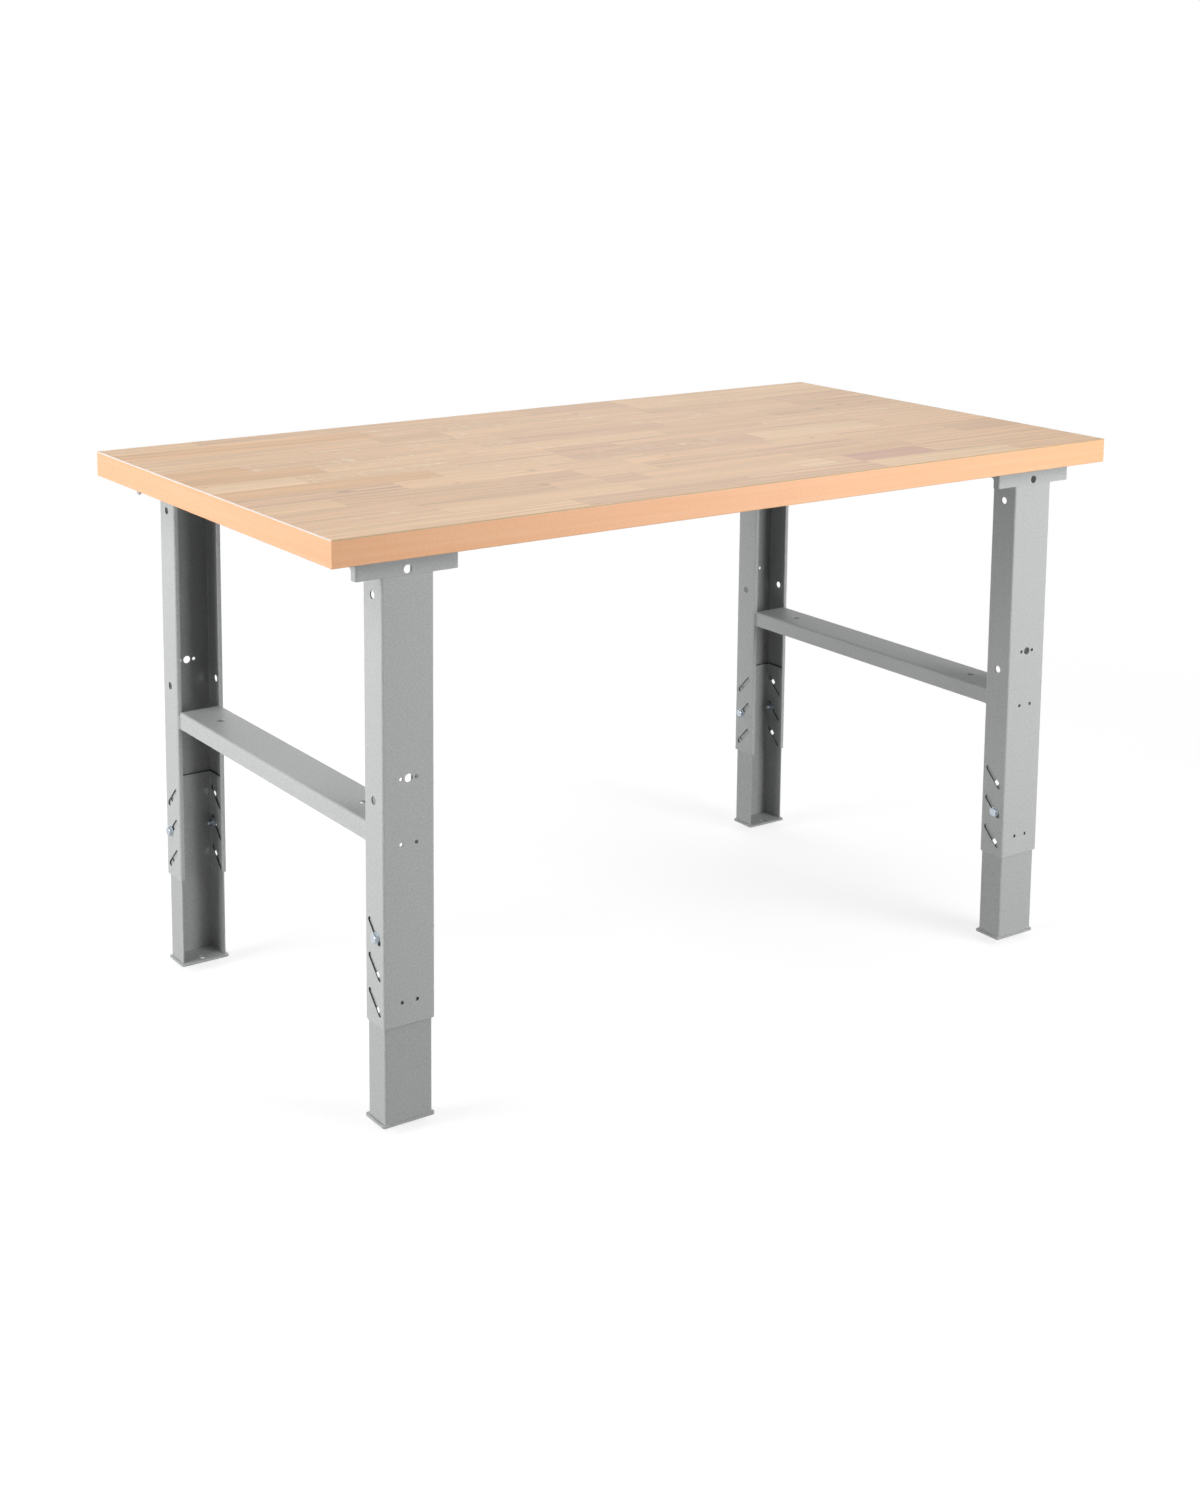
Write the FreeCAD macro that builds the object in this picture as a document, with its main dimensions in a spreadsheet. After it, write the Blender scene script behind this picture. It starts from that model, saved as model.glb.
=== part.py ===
import FreeCAD, Part
import os
import re
import Sketcher

# Workbench with a beech board on two welded side frames.
# Each frame has a front and a rear leg. A leg is a lipped steel channel with a second channel inside it.
# Slanted slots in the two channels cross, and the bolt through each crossing sets the height without steps.
# X runs along the bench, the front is at -Y and Z is up. The origin lies on the floor under the middle.
# Millimetres throughout.

SIZES = (
    # the board
    ("board_length", 1500),
    ("board_width", 800),
    ("board_thickness", 40),
    ("face_thickness", 1),
    ("backing_thickness", 1),
    ("band_thickness", 2),
    ("band_arris", 1.5),
    # where the legs stand: from the board's end to a leg's middle, and from its edge to the leg's face
    ("leg_end_inset", 136),
    ("leg_face_inset", 32),
    # outer leg: a lipped channel, open towards the middle of the bench
    ("post_length", 687),
    ("leg_width", 84),
    ("leg_depth", 52.5),
    ("leg_wall", 2),
    ("leg_lip", 8),
    ("leg_inside_bend", 1.5),
    # holes in the outer leg, by their height over its lower end or their depth under the board
    ("web_hole", 12.5),
    ("small_hole", 5.5),
    ("small_hole_spacing", 25),
    ("web_trio_height", 364.5),
    ("web_pair_upper", 269),
    ("web_pair_lower", 34.5),
    ("flange_hole", 12),
    ("flange_hole_lower", 332),
    ("flange_hole_drop", 59),
    # slanted slots, alike in both channels: three to a flange, one pitch apart, by the lowest one's height
    ("slot_rise", 26.5),
    ("slot_run", 26.5),
    ("slot_pitch", 53),
    ("slot_count", 3),
    ("slot_clearance", 1),
    ("outer_slot_height", 33),
    ("inner_slot_height", 165),
    # how far each inner slot lies under its outer slot at the height shown
    ("slot_lag", 14),
    # inner leg: a plain channel that slides in the outer one
    ("leg_gap", 1),
    ("inner_top_margin", 41.5),
    # foot plate, by how far it stands out round the inner leg
    ("foot_thickness", 4),
    ("foot_side_rim", 4),
    ("foot_web_rim", 1.5),
    ("foot_open_rim", 6),
    ("foot_corner", 4),
    ("foot_hole", 12),
    ("foot_hole_setback", 14),
    # bracket at the top of each leg, with an ear on either side of it
    ("bracket_ear", 40.75),
    ("bracket_height", 31),
    ("bracket_wall", 2),
    ("bracket_inside_bend", 1.5),
    ("bracket_return", 12.5),
    ("bracket_flare_height", 14),
    ("bracket_hole_height", 8.5),
    ("bracket_edge_break", 0.5),
    # crossbar between the front and rear leg of a frame, its top by height over the outer legs' lower ends
    ("bar_top", 292),
    ("bar_lap", 4),
    ("bar_height", 28),
    ("bar_wall", 2),
    ("bar_inside_bend", 3),
    ("bar_hole", 12.5),
    ("bar_hole_inset", 78),
    ("bar_weld", 2.5),
    # clamp bolts
    ("bolt_size", 8),
    ("bolt_length", 20),
    ("bolt_head_width", 13),
    ("bolt_head_height", 5.3),
    ("nut_height", 6.5),
    ("thread_gap", 0.05),
    ("washer_width", 16),
    ("washer_thickness", 1.6),
    ("washer_gap", 0.4),
    # screws that hold the board
    ("screw_size", 5),
    ("screw_tip_cover", 12),
    ("screw_head_width", 10),
    ("screw_head_height", 3),
    ("screw_hole_gap", 0.5),
    ("screw_inset", 20),
    ("screw_row_near", 16),
    ("screw_row_far", 38),
    # how far a cut runs past the material
    ("overrun", 5),
)

# Heights worked out from the sizes. The setting of the slots gives the height of the bench.
OUTER_BOTTOM = "(foot_thickness + inner_slot_height + slot_lag - outer_slot_height)"
BRACKET_BOTTOM = "(" + OUTER_BOTTOM + " + post_length - bracket_height)"
BOARD_BOTTOM = "(" + OUTER_BOTTOM + " + post_length)"
BAR_BOTTOM = "(" + OUTER_BOTTOM + " + bar_top - bar_height)"
INNER_WIDTH = "(leg_width - 2 * leg_wall - 2 * leg_gap)"
INNER_DEPTH = "(leg_depth - 2 * leg_wall - 2 * leg_gap)"
INNER_SETBACK = "(leg_wall + leg_gap)"
LEG_BEND = "(leg_inside_bend + leg_wall)"
BRACKET_BEND = "(bracket_inside_bend + bracket_wall)"
BAR_BEND = "(bar_inside_bend + bar_wall)"
LEG_SPACING = "(board_length - 2 * leg_end_inset)"
FRAME_DEPTH = "(board_width - 2 * leg_face_inset)"
BRACKET_WIDTH = "(leg_width + 2 * bracket_ear)"
FOOT_WIDTH = "(" + INNER_WIDTH + " + 2 * foot_side_rim)"
FOOT_DEPTH = "(" + INNER_DEPTH + " + foot_web_rim + foot_open_rim)"
BAR_WIDTH = "(leg_width - 2 * leg_lip + 2 * bar_lap)"
BAR_LENGTH = "(" + FRAME_DEPTH + " - 2 * leg_depth)"
SLOT_WIDTH = "(bolt_size + slot_clearance)"
SCREW_LENGTH = "(bracket_wall + board_thickness - screw_tip_cover)"
# A thin band's arris is rounded less, by this share of its thickness.
ARRIS_LIMIT_SHARE = 0.9
ARRIS = "min(band_arris; %s * band_thickness)" % ARRIS_LIMIT_SHARE

# Front legs stand at -Y and keep the leg's own axes. Rear legs are turned half round.
CORNERS = {
    "front_left": (-1, -1),
    "front_right": (1, -1),
    "rear_left": (-1, 1),
    "rear_right": (1, 1),
}
# Which slot holds the clamp bolts, counted down from the top slot.
SLOTS_ABOVE_CLAMP = {"front_left": 0, "front_right": 1, "rear_left": 1, "rear_right": 1}
# A hexagon's corner radius and the top of its chamfer cone, as shares of its width across the flats.
HEX_CORNER_SHARE = 0.57735
HEX_TOP_SHARE = 0.48
HEX_CONE_SLOPE = 1.73205
# The radius of a screw head's top, and the cross in it, as shares of the head's width.
HEAD_TOP_SHARE = 0.36
CROSS_LENGTH_SHARE = 0.5
CROSS_WIDTH_SHARE = 0.1
# How near a point has to lie to an edge to pick it.
NEAR = 1e-4

doc = FreeCAD.newDocument("workbench")
sheet = doc.addObject("Spreadsheet::Sheet", "sizes")
for row, (alias, number) in enumerate(SIZES, start=1):
    sheet.set("A%d" % row, alias)
    sheet.set("B%d" % row, str(number))
    sheet.setAlias("B%d" % row, alias)
doc.recompute()

nodes = []
size_names = {alias for alias, number in SIZES}


def bound(text):
    """The same formula with each size named as a cell of the sheet."""
    def cell(word):
        return "sizes." + word.group() if word.group() in size_names else word.group()
    return re.sub("[a-z_]+", cell, text)


def value(text):
    return float(sheet.evalExpression(bound(text)))


def bind(thing, prop, text):
    thing.setExpression(prop, bound(text))


def put(thing, x="0", y="0", z="0", axis=(0, 0, 1), degrees=0):
    """Places an object by formulas, after turning it about an axis."""
    turn = FreeCAD.Rotation(FreeCAD.Vector(*axis), degrees)
    thing.Placement = FreeCAD.Placement(FreeCAD.Vector(value(x), value(y), value(z)), turn)
    bind(thing, ".Placement.Base.x", x)
    bind(thing, ".Placement.Base.y", y)
    bind(thing, ".Placement.Base.z", z)


def new_body(label):
    body = doc.addObject("PartDesign::Body", label)
    body.Label = label
    return body


def sketch_on(body, role, name):
    """An empty sketch on one of the body's own origin planes."""
    sketch = body.newObject("Sketcher::SketchObject", name)
    plane = [item for item in body.Origin.OriginFeatures if item.Role == role][0]
    sketch.AttachmentSupport = [(plane, "")]
    sketch.MapMode = "FlatFace"
    return sketch


def hold(sketch, kind, geometry, point, text):
    """Fixes one coordinate of a point of the sketch by a formula."""
    number = sketch.addConstraint(Sketcher.Constraint(kind, -1, 1, geometry, point, value(text)))
    sketch.setExpression("Constraints[%d]" % number, bound(text))


def outline(body, role, name, corners):
    """A closed outline of straight lines through corners given as formulas."""
    sketch = sketch_on(body, role, name)
    spots = [FreeCAD.Vector(value(x), value(y), 0) for x, y in corners]
    count = len(spots)
    for index in range(count):
        sketch.addGeometry(Part.LineSegment(spots[index], spots[(index + 1) % count]))
    for index in range(count):
        sketch.addConstraint(Sketcher.Constraint("Coincident", index, 2, (index + 1) % count, 1))
    for index, (x, y) in enumerate(corners):
        hold(sketch, "DistanceX", index, 1, x)
        hold(sketch, "DistanceY", index, 1, y)
    return sketch


def rectangle(body, role, name, left, right, low, high):
    return outline(body, role, name, ((left, low), (right, low), (right, high), (left, high)))


def circles(body, role, name, holes):
    """Circles given as formulas for their middle and their diameter."""
    sketch = sketch_on(body, role, name)
    for index, (x, y, diameter) in enumerate(holes):
        middle = FreeCAD.Vector(value(x), value(y), 0)
        up = FreeCAD.Vector(0, 0, 1)
        sketch.addGeometry(Part.Circle(middle, up, value(diameter) / 2))
        hold(sketch, "DistanceX", index, 3, x)
        hold(sketch, "DistanceY", index, 3, y)
        number = sketch.addConstraint(Sketcher.Constraint("Diameter", index, value(diameter)))
        sketch.setExpression("Constraints[%d]" % number, bound(diameter))
    return sketch


def slot(body, role, name, low_x, low_y, high_x, high_y, width):
    """A slot with round ends: the middles of its lower and upper end, and its width."""
    sketch = sketch_on(body, role, name)
    low = FreeCAD.Vector(value(low_x), value(low_y), 0)
    high = FreeCAD.Vector(value(high_x), value(high_y), 0)
    along = (high - low).normalize()
    side = FreeCAD.Vector(-along.y, along.x, 0) * (value(width) / 2)
    cap = along * (value(width) / 2)
    sketch.addGeometry(Part.LineSegment(low - side, high - side))
    sketch.addGeometry(Part.Arc(high - side, high + cap, high + side))
    sketch.addGeometry(Part.LineSegment(high + side, low + side))
    sketch.addGeometry(Part.Arc(low + side, low - cap, low - side))
    # an arc starts and ends in the turning sense of the slot's outline
    for line, arc in ((0, 1), (2, 3)):
        sketch.addConstraint(Sketcher.Constraint("Tangent", line, 2, arc, 1))
    for arc, line in ((1, 2), (3, 0)):
        sketch.addConstraint(Sketcher.Constraint("Tangent", arc, 2, line, 1))
    hold(sketch, "DistanceX", 1, 3, high_x)
    hold(sketch, "DistanceY", 1, 3, high_y)
    hold(sketch, "DistanceX", 3, 3, low_x)
    hold(sketch, "DistanceY", 3, 3, low_y)
    number = sketch.addConstraint(Sketcher.Constraint("Radius", 1, value(width) / 2))
    sketch.setExpression("Constraints[%d]" % number, bound(width + " / 2"))
    return sketch


def pad(body, sketch, length, reverse=False):
    feature = body.newObject("PartDesign::Pad", sketch.Name + "_pad")
    feature.Profile = sketch
    feature.Reversed = reverse
    bind(feature, "Length", length)
    doc.recompute()
    return feature


def pocket(body, sketch, length=None, reverse=False, both_ways=False):
    """Cuts the sketch out of the body, right through where no length is given."""
    before = body.Shape.Volume
    feature = body.newObject("PartDesign::Pocket", sketch.Name + "_cut")
    feature.Profile = sketch
    feature.Reversed = reverse
    if both_ways:
        feature.SideType = "Symmetric"
    if length is None:
        feature.Type = "ThroughAll"
    else:
        bind(feature, "Length", length)
    doc.recompute()
    if body.Shape.Volume > before - NEAR:
        raise ValueError(sketch.Name + " cuts nothing")
    return feature


def edges_through(shape, spots):
    """Names of the edges that pass through the spots, each spot given by three formulas."""
    names = []
    for spot in spots:
        point = Part.Vertex(FreeCAD.Vector(*[value(text) for text in spot]))
        for index, edge in enumerate(shape.Edges, start=1):
            if edge.distToShape(point)[0] < NEAR:
                names.append("Edge%d" % index)
                break
        else:
            raise ValueError("no edge at " + str(spot))
    return names


def round_edges(body, name, radius, spots):
    """Rounds the edges that pass through the spots."""
    base = body.Tip
    feature = body.newObject("PartDesign::Fillet", name)
    feature.Base = (base, edges_through(base.Shape, spots))
    bind(feature, "Radius", radius)
    doc.recompute()
    return feature


def break_edges(body, name, size, spots):
    """Chamfers the edges that pass through the spots."""
    base = body.Tip
    feature = body.newObject("PartDesign::Chamfer", name)
    feature.Base = (base, edges_through(base.Shape, spots))
    bind(feature, "Size", size)
    doc.recompute()
    return feature


def keep(thing, label):
    """Names an object as one node of the bench."""
    thing.Label = label
    nodes.append(thing)
    return thing


def group(label, members):
    """One node that holds several alike solids."""
    compound = doc.addObject("Part::Compound", label)
    compound.Links = members
    return keep(compound, label)


def at_corner(corner, x="0", y="0"):
    """World formulas for a place given from the middle of the leg's outer face, y towards mid-bench."""
    side, end = CORNERS[corner]
    return (
        "%d * %s / 2 + %d * (%s)" % (side, LEG_SPACING, -end, x),
        "%d * (%s / 2 - (%s))" % (end, FRAME_DEPTH, y),
    )


def place_leg_piece(thing, corner, x="0", y="0", z="0"):
    """Puts a piece modelled in the leg's own axes at its corner of the bench."""
    spot_x, spot_y = at_corner(corner, x, y)
    end = CORNERS[corner][1]
    put(thing, spot_x, spot_y, z, degrees=90 + 90 * end)


def screw_spots():
    """World formulas for every screw that holds the board, with the corner each belongs to."""
    for corner in CORNERS:
        for ear in (-1, 1):
            for screw_row in ("screw_row_near", "screw_row_far"):
                across = "%d * (%s / 2 - screw_inset)" % (ear, BRACKET_WIDTH)
                yield corner, at_corner(corner, across, screw_row)


def make_board_layer(label, low, thickness, pilot_depth=None):
    """A sheet of the board inside the edge bands, drilled for the screws where they reach it."""
    body = new_body(label)
    half_length = "(board_length / 2 - band_thickness)"
    half_width = "(board_width / 2 - band_thickness)"
    sheet_outline = rectangle(body, "XY_Plane", label + "_outline", "-" + half_length, half_length,
                              "-" + half_width, half_width)
    pad(body, sheet_outline, thickness)
    if pilot_depth:
        holes = [(x, y, "screw_size + 2 * thread_gap") for corner, (x, y) in screw_spots()]
        pilots = circles(body, "XY_Plane", label + "_pilots", holes)
        pocket(body, pilots, pilot_depth, reverse=True)
    put(body, z=low)
    return keep(body, label)


def make_long_band(label, end):
    """An edge band along the whole front or rear edge, with all its outer edges rounded."""
    body = new_body(label)
    half = "board_length / 2"
    outer = "%d * board_width / 2" % end
    inner = "%d * (board_width / 2 - band_thickness)" % end
    low, high = sorted((outer, inner), key=value)
    base = rectangle(body, "XY_Plane", label + "_outline", "-" + half, half, low, high)
    pad(body, base, "board_thickness")
    mid = "board_thickness / 2"
    round_edges(body, label + "_arris", ARRIS, (
        ("0", outer, "0"), ("0", outer, "board_thickness"), (half, outer, mid), ("-" + half, outer, mid)))
    put(body, z=BOARD_BOTTOM)
    return keep(body, label)


def make_short_band(label, side):
    """An edge band across one end of the board, between the long bands."""
    body = new_body(label)
    half = "(board_width / 2 - band_thickness)"
    outer = "%d * board_length / 2" % side
    inner = "%d * (board_length / 2 - band_thickness)" % side
    low, high = sorted((outer, inner), key=value)
    base = rectangle(body, "XY_Plane", label + "_outline", low, high, "-" + half, half)
    pad(body, base, "board_thickness")
    round_edges(body, label + "_arris", ARRIS, ((outer, "0", "0"), (outer, "0", "board_thickness")))
    put(body, z=BOARD_BOTTOM)
    return keep(body, label)


def make_outer_leg(corner):
    """A lipped channel: web outside, flanges and lips towards mid-bench."""
    label = "outer_leg_" + corner
    body = new_body(label)
    half = "leg_width / 2"
    inside = "(leg_width / 2 - leg_wall)"
    lip = "(leg_width / 2 - leg_lip)"
    lip_back = "(leg_depth - leg_wall)"
    right_half = ((half, "0"), (half, "leg_depth"), (lip, "leg_depth"), (lip, lip_back),
                  (inside, lip_back), (inside, "leg_wall"))
    left_half = tuple(("-" + x, y) for x, y in reversed(right_half))
    section = outline(body, "XY_Plane", label + "_section", right_half + left_half)
    pad(body, section, "post_length - bracket_wall")
    mid = "post_length / 2"
    outer_bends = [(sign + half, y, mid) for sign in ("", "-") for y in ("0", "leg_depth")]
    inner_bends = [(sign + inside, y, mid) for sign in ("", "-") for y in ("leg_wall", lip_back)]
    round_edges(body, label + "_outer_bends", LEG_BEND, outer_bends)
    round_edges(body, label + "_inner_bends", "leg_inside_bend", inner_bends)

    # the bracket's front plate takes the place of the web at the top
    notch = rectangle(body, "XZ_Plane", label + "_notch", "-" + half + " - overrun", half + " + overrun",
                      "post_length - bracket_height", "post_length + overrun")
    pocket(body, notch, "bracket_wall")

    small = [("%d * small_hole_spacing / 2" % sign, height, "small_hole")
             for height in ("web_trio_height", "web_pair_upper", "web_pair_lower") for sign in (-1, 1)]
    large = ("0", "web_trio_height", "web_hole")
    pocket(body, circles(body, "XZ_Plane", label + "_web_holes", small + [large]))

    flange_holes = circles(body, "YZ_Plane", label + "_flange_holes", (
        ("leg_depth / 2", "flange_hole_lower", "flange_hole"),
        ("leg_depth / 2", "post_length - flange_hole_drop", "flange_hole")))
    pocket(body, flange_holes, both_ways=True)

    # low at the web, high at the lips
    cut_slots(body, label, "leg_depth / 2 - slot_run / 2", "leg_depth / 2 + slot_run / 2",
              "outer_slot_height")
    place_leg_piece(body, corner, z=OUTER_BOTTOM)
    return keep(body, label)


def cut_slots(body, label, low_end, high_end, first):
    """Cuts the row of slanted slots through both flanges of a channel."""
    lowest = slot(body, "YZ_Plane", label + "_slot", low_end, first + " - slot_rise / 2",
                  high_end, first + " + slot_rise / 2", SLOT_WIDTH)
    cut = pocket(body, lowest, both_ways=True)
    before = body.Shape.Volume
    rows = body.newObject("PartDesign::LinearPattern", label + "_slots")
    rows.Originals = [cut]
    rows.Direction = (lowest, ["V_Axis"])
    bind(rows, "Length", "(slot_count - 1) * slot_pitch")
    bind(rows, "Occurrences", "slot_count")
    body.Tip = rows
    doc.recompute()
    if body.Shape.Volume > before - NEAR:
        raise ValueError(label + " has one slot only")


def make_inner_leg(corner):
    """A plain channel that slides in the outer one, its slots slanted the other way."""
    label = "inner_leg_" + corner
    body = new_body(label)
    half = INNER_WIDTH + " / 2"
    inside = "(" + INNER_WIDTH + " / 2 - leg_wall)"
    length = "inner_slot_height + (slot_count - 1) * slot_pitch + inner_top_margin"
    right_half = ((half, "0"), (half, INNER_DEPTH), (inside, INNER_DEPTH), (inside, "leg_wall"))
    left_half = tuple(("-" + x, y) for x, y in reversed(right_half))
    section = outline(body, "XY_Plane", label + "_section", right_half + left_half)
    pad(body, section, length)
    mid = "inner_slot_height / 2"
    round_edges(body, label + "_outer_bends", LEG_BEND, ((half, "0", mid), ("-" + half, "0", mid)))
    round_edges(body, label + "_inner_bends", "leg_inside_bend",
                ((inside, "leg_wall", mid), ("-" + inside, "leg_wall", mid)))
    cut_slots(body, label, INNER_DEPTH + " / 2 + slot_run / 2", INNER_DEPTH + " / 2 - slot_run / 2",
              "inner_slot_height")
    place_leg_piece(body, corner, y=INNER_SETBACK, z="foot_thickness")
    return keep(body, label)


def make_foot_plate(corner):
    """A flat plate under the inner leg, with a hole for a floor anchor."""
    label = "foot_plate_" + corner
    body = new_body(label)
    half = FOOT_WIDTH + " / 2"
    base = rectangle(body, "XY_Plane", label + "_outline", "-" + half, half, "0", FOOT_DEPTH)
    pad(body, base, "foot_thickness")
    mid = "foot_thickness / 2"
    round_edges(body, label + "_corners", "foot_corner",
                [(sign + half, y, mid) for sign in ("", "-") for y in ("0", FOOT_DEPTH)])
    anchor = circles(body, "XY_Plane", label + "_anchor",
                     (("0", FOOT_DEPTH + " - foot_hole_setback", "foot_hole"),))
    pocket(body, anchor, reverse=True)
    place_leg_piece(body, corner, y=INNER_SETBACK + " - foot_web_rim")
    return keep(body, label)


def make_bracket(corner):
    """A folded plate: a front, a top under the board and two short returns that flare out at the top."""
    label = "top_bracket_" + corner
    body = new_body(label)
    half = BRACKET_WIDTH + " / 2"
    inside = "(" + BRACKET_WIDTH + " / 2 - bracket_wall)"
    under_top = "(bracket_height - bracket_wall)"
    block = rectangle(body, "XY_Plane", label + "_outline", "-" + half, half, "0", "leg_depth")
    pad(body, block, "bracket_height")
    mid = "bracket_height / 2"
    round_edges(body, label + "_outer_bends", BRACKET_BEND, ((half, "0", mid), ("-" + half, "0", mid)))
    hollow = rectangle(body, "XY_Plane", label + "_hollow", "-" + inside, inside,
                       "bracket_wall", "leg_depth + overrun")
    pocket(body, hollow, under_top, reverse=True)
    round_edges(body, label + "_inner_bends", "bracket_inside_bend",
                ((inside, "bracket_wall", mid), ("-" + inside, "bracket_wall", mid)))
    returns = outline(body, "YZ_Plane", label + "_returns", (
        ("bracket_return", "-overrun"),
        ("leg_depth + overrun", "-overrun"),
        ("leg_depth + overrun", under_top),
        ("bracket_return + " + under_top + " - bracket_flare_height", under_top),
        ("bracket_return", "bracket_flare_height")))
    pocket(body, returns, both_ways=True)
    hole = circles(body, "XZ_Plane", label + "_hole", (("0", "bracket_hole_height", "web_hole"),))
    pocket(body, hole)
    holes = [("%d * (%s / 2 - screw_inset)" % (ear, BRACKET_WIDTH), screw_row, "screw_size + screw_hole_gap")
             for ear in (-1, 1) for screw_row in ("screw_row_near", "screw_row_far")]
    pocket(body, circles(body, "XY_Plane", label + "_screw_holes", holes), reverse=True)
    break_edges(body, label + "_edge", "bracket_edge_break", (("0", "0", "0"),))
    place_leg_piece(body, corner, z=BRACKET_BOTTOM)
    return keep(body, label)


def make_crossbar(name, side):
    """A channel open below, butted between the lips of the front and the rear leg."""
    label = "crossbar_" + name
    body = new_body(label)
    half = BAR_WIDTH + " / 2"
    inside = "(" + BAR_WIDTH + " / 2 - bar_wall)"
    under_top = "(bar_height - bar_wall)"
    right_half = ((inside, "0"), (half, "0"), (half, "bar_height"))
    left_half = tuple(("-" + x, z) for x, z in reversed(right_half))
    section = outline(body, "XZ_Plane", label + "_section",
                      right_half + left_half + (("-" + inside, under_top), (inside, under_top)))
    pad(body, section, BAR_LENGTH, reverse=True)
    mid = BAR_LENGTH + " / 2"
    round_edges(body, label + "_outer_bends", BAR_BEND,
                ((half, mid, "bar_height"), ("-" + half, mid, "bar_height")))
    round_edges(body, label + "_inner_bends", "bar_inside_bend",
                ((inside, mid, under_top), ("-" + inside, mid, under_top)))
    holes = circles(body, "XY_Plane", label + "_holes", (
        ("0", "bar_hole_inset", "bar_hole"),
        ("0", BAR_LENGTH + " - bar_hole_inset", "bar_hole")))
    pocket(body, holes, reverse=True)
    put(body, "%d * %s / 2" % (side, LEG_SPACING), "-" + BAR_LENGTH + " / 2", BAR_BOTTOM)
    return keep(body, label)


def make_crossbar_welds(name, side):
    """Quarter-round beads where the crossbar's sides meet the lips of the legs."""
    beads = []
    for face in (-1, 1):
        for end in (-1, 1):
            bead = doc.addObject("Part::Cylinder", "bead")
            bind(bead, "Radius", "bar_weld")
            bind(bead, "Height", "bar_height - " + BAR_BEND)
            bead.Angle = 90
            # the quarter lies outside the bar's side and on the bar's side of the lip
            first = {(1, 1): 270, (1, -1): 0, (-1, -1): 90, (-1, 1): 180}[(face, end)]
            put(bead, "%d * %s / 2 + %d * %s / 2" % (side, LEG_SPACING, face, BAR_WIDTH),
                "%d * %s / 2" % (end, BAR_LENGTH), BAR_BOTTOM, degrees=first)
            beads.append(bead)
    return group("crossbar_welds_" + name, beads)


def hexagon(width, height):
    """A hexagon with flats facing front and rear and a chamfer round its top."""
    prism = doc.addObject("Part::Prism", "hexagon")
    prism.Polygon = 6
    bind(prism, "Circumradius", "%s * %s" % (HEX_CORNER_SHARE, width))
    bind(prism, "Height", height)
    cone = doc.addObject("Part::Cone", "chamfer_cone")
    bind(cone, "Radius2", "%s * %s" % (HEX_TOP_SHARE, width))
    bind(cone, "Radius1", "%s * %s + %s * %s" % (HEX_TOP_SHARE, width, HEX_CONE_SLOPE, height))
    bind(cone, "Height", height)
    head = doc.addObject("Part::Common", "chamfered_hexagon")
    head.Base = prism
    head.Tool = cone
    return head


def rod(name, diameter, height, low="0"):
    cylinder = doc.addObject("Part::Cylinder", name)
    bind(cylinder, "Radius", "(" + diameter + ") / 2")
    bind(cylinder, "Height", height)
    put(cylinder, z=low)
    return cylinder


def cut(name, base, tool):
    result = doc.addObject("Part::Cut", name)
    result.Base = base
    result.Tool = tool
    return result


def fuse(name, members):
    result = doc.addObject("Part::MultiFuse", name)
    result.Shapes = members
    return result


def make_clamp(corner):
    """The bolts, washers and nuts that clamp the inner leg of one corner, through both flanges."""
    row_height = "outer_slot_height + (slot_count - 1 - %d) * slot_pitch" % SLOTS_ABOVE_CLAMP[corner]
    height = "%s + %s - slot_lag / 2" % (OUTER_BOTTOM, row_height)
    depth = "leg_depth / 2 - slot_lag / 2 * slot_run / slot_rise"
    bolts, washers, nuts = [], [], []
    for face in (-1, 1):
        # each fastener is modelled pointing up and turned to point away from the flange
        turned = {"axis": (0, 1, 0), "degrees": 90 * face}
        outside = "%d * (leg_width / 2 + washer_thickness)" % face
        under_nut = "%d * (leg_width / 2 - 2 * leg_wall - leg_gap - nut_height)" % face
        bolt = fuse("bolt", [hexagon("bolt_head_width", "bolt_head_height"),
                             rod("shank", "bolt_size", "bolt_length", "-bolt_length")])
        washer = cut("washer", rod("washer_disc", "washer_width", "washer_thickness", "-washer_thickness"),
                     rod("washer_bore", "bolt_size + washer_gap", "washer_thickness + 2 * overrun",
                         "-washer_thickness - overrun"))
        nut = cut("nut", hexagon("bolt_head_width", "nut_height"),
                  rod("nut_bore", "bolt_size + 2 * thread_gap", "nut_height + 2 * overrun", "-overrun"))
        side = CORNERS[corner][0]
        y = at_corner(corner, y=depth)[1]
        fasteners = ((bolt, outside, bolts), (washer, outside, washers), (nut, under_nut, nuts))
        for piece, across, alike in fasteners:
            put(piece, "%d * %s / 2 + %s" % (side, LEG_SPACING, across), y, height, **turned)
            alike.append(piece)
    group("clamp_bolts_" + corner, bolts)
    group("clamp_washers_" + corner, washers)
    group("clamp_nuts_" + corner, nuts)


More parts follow.
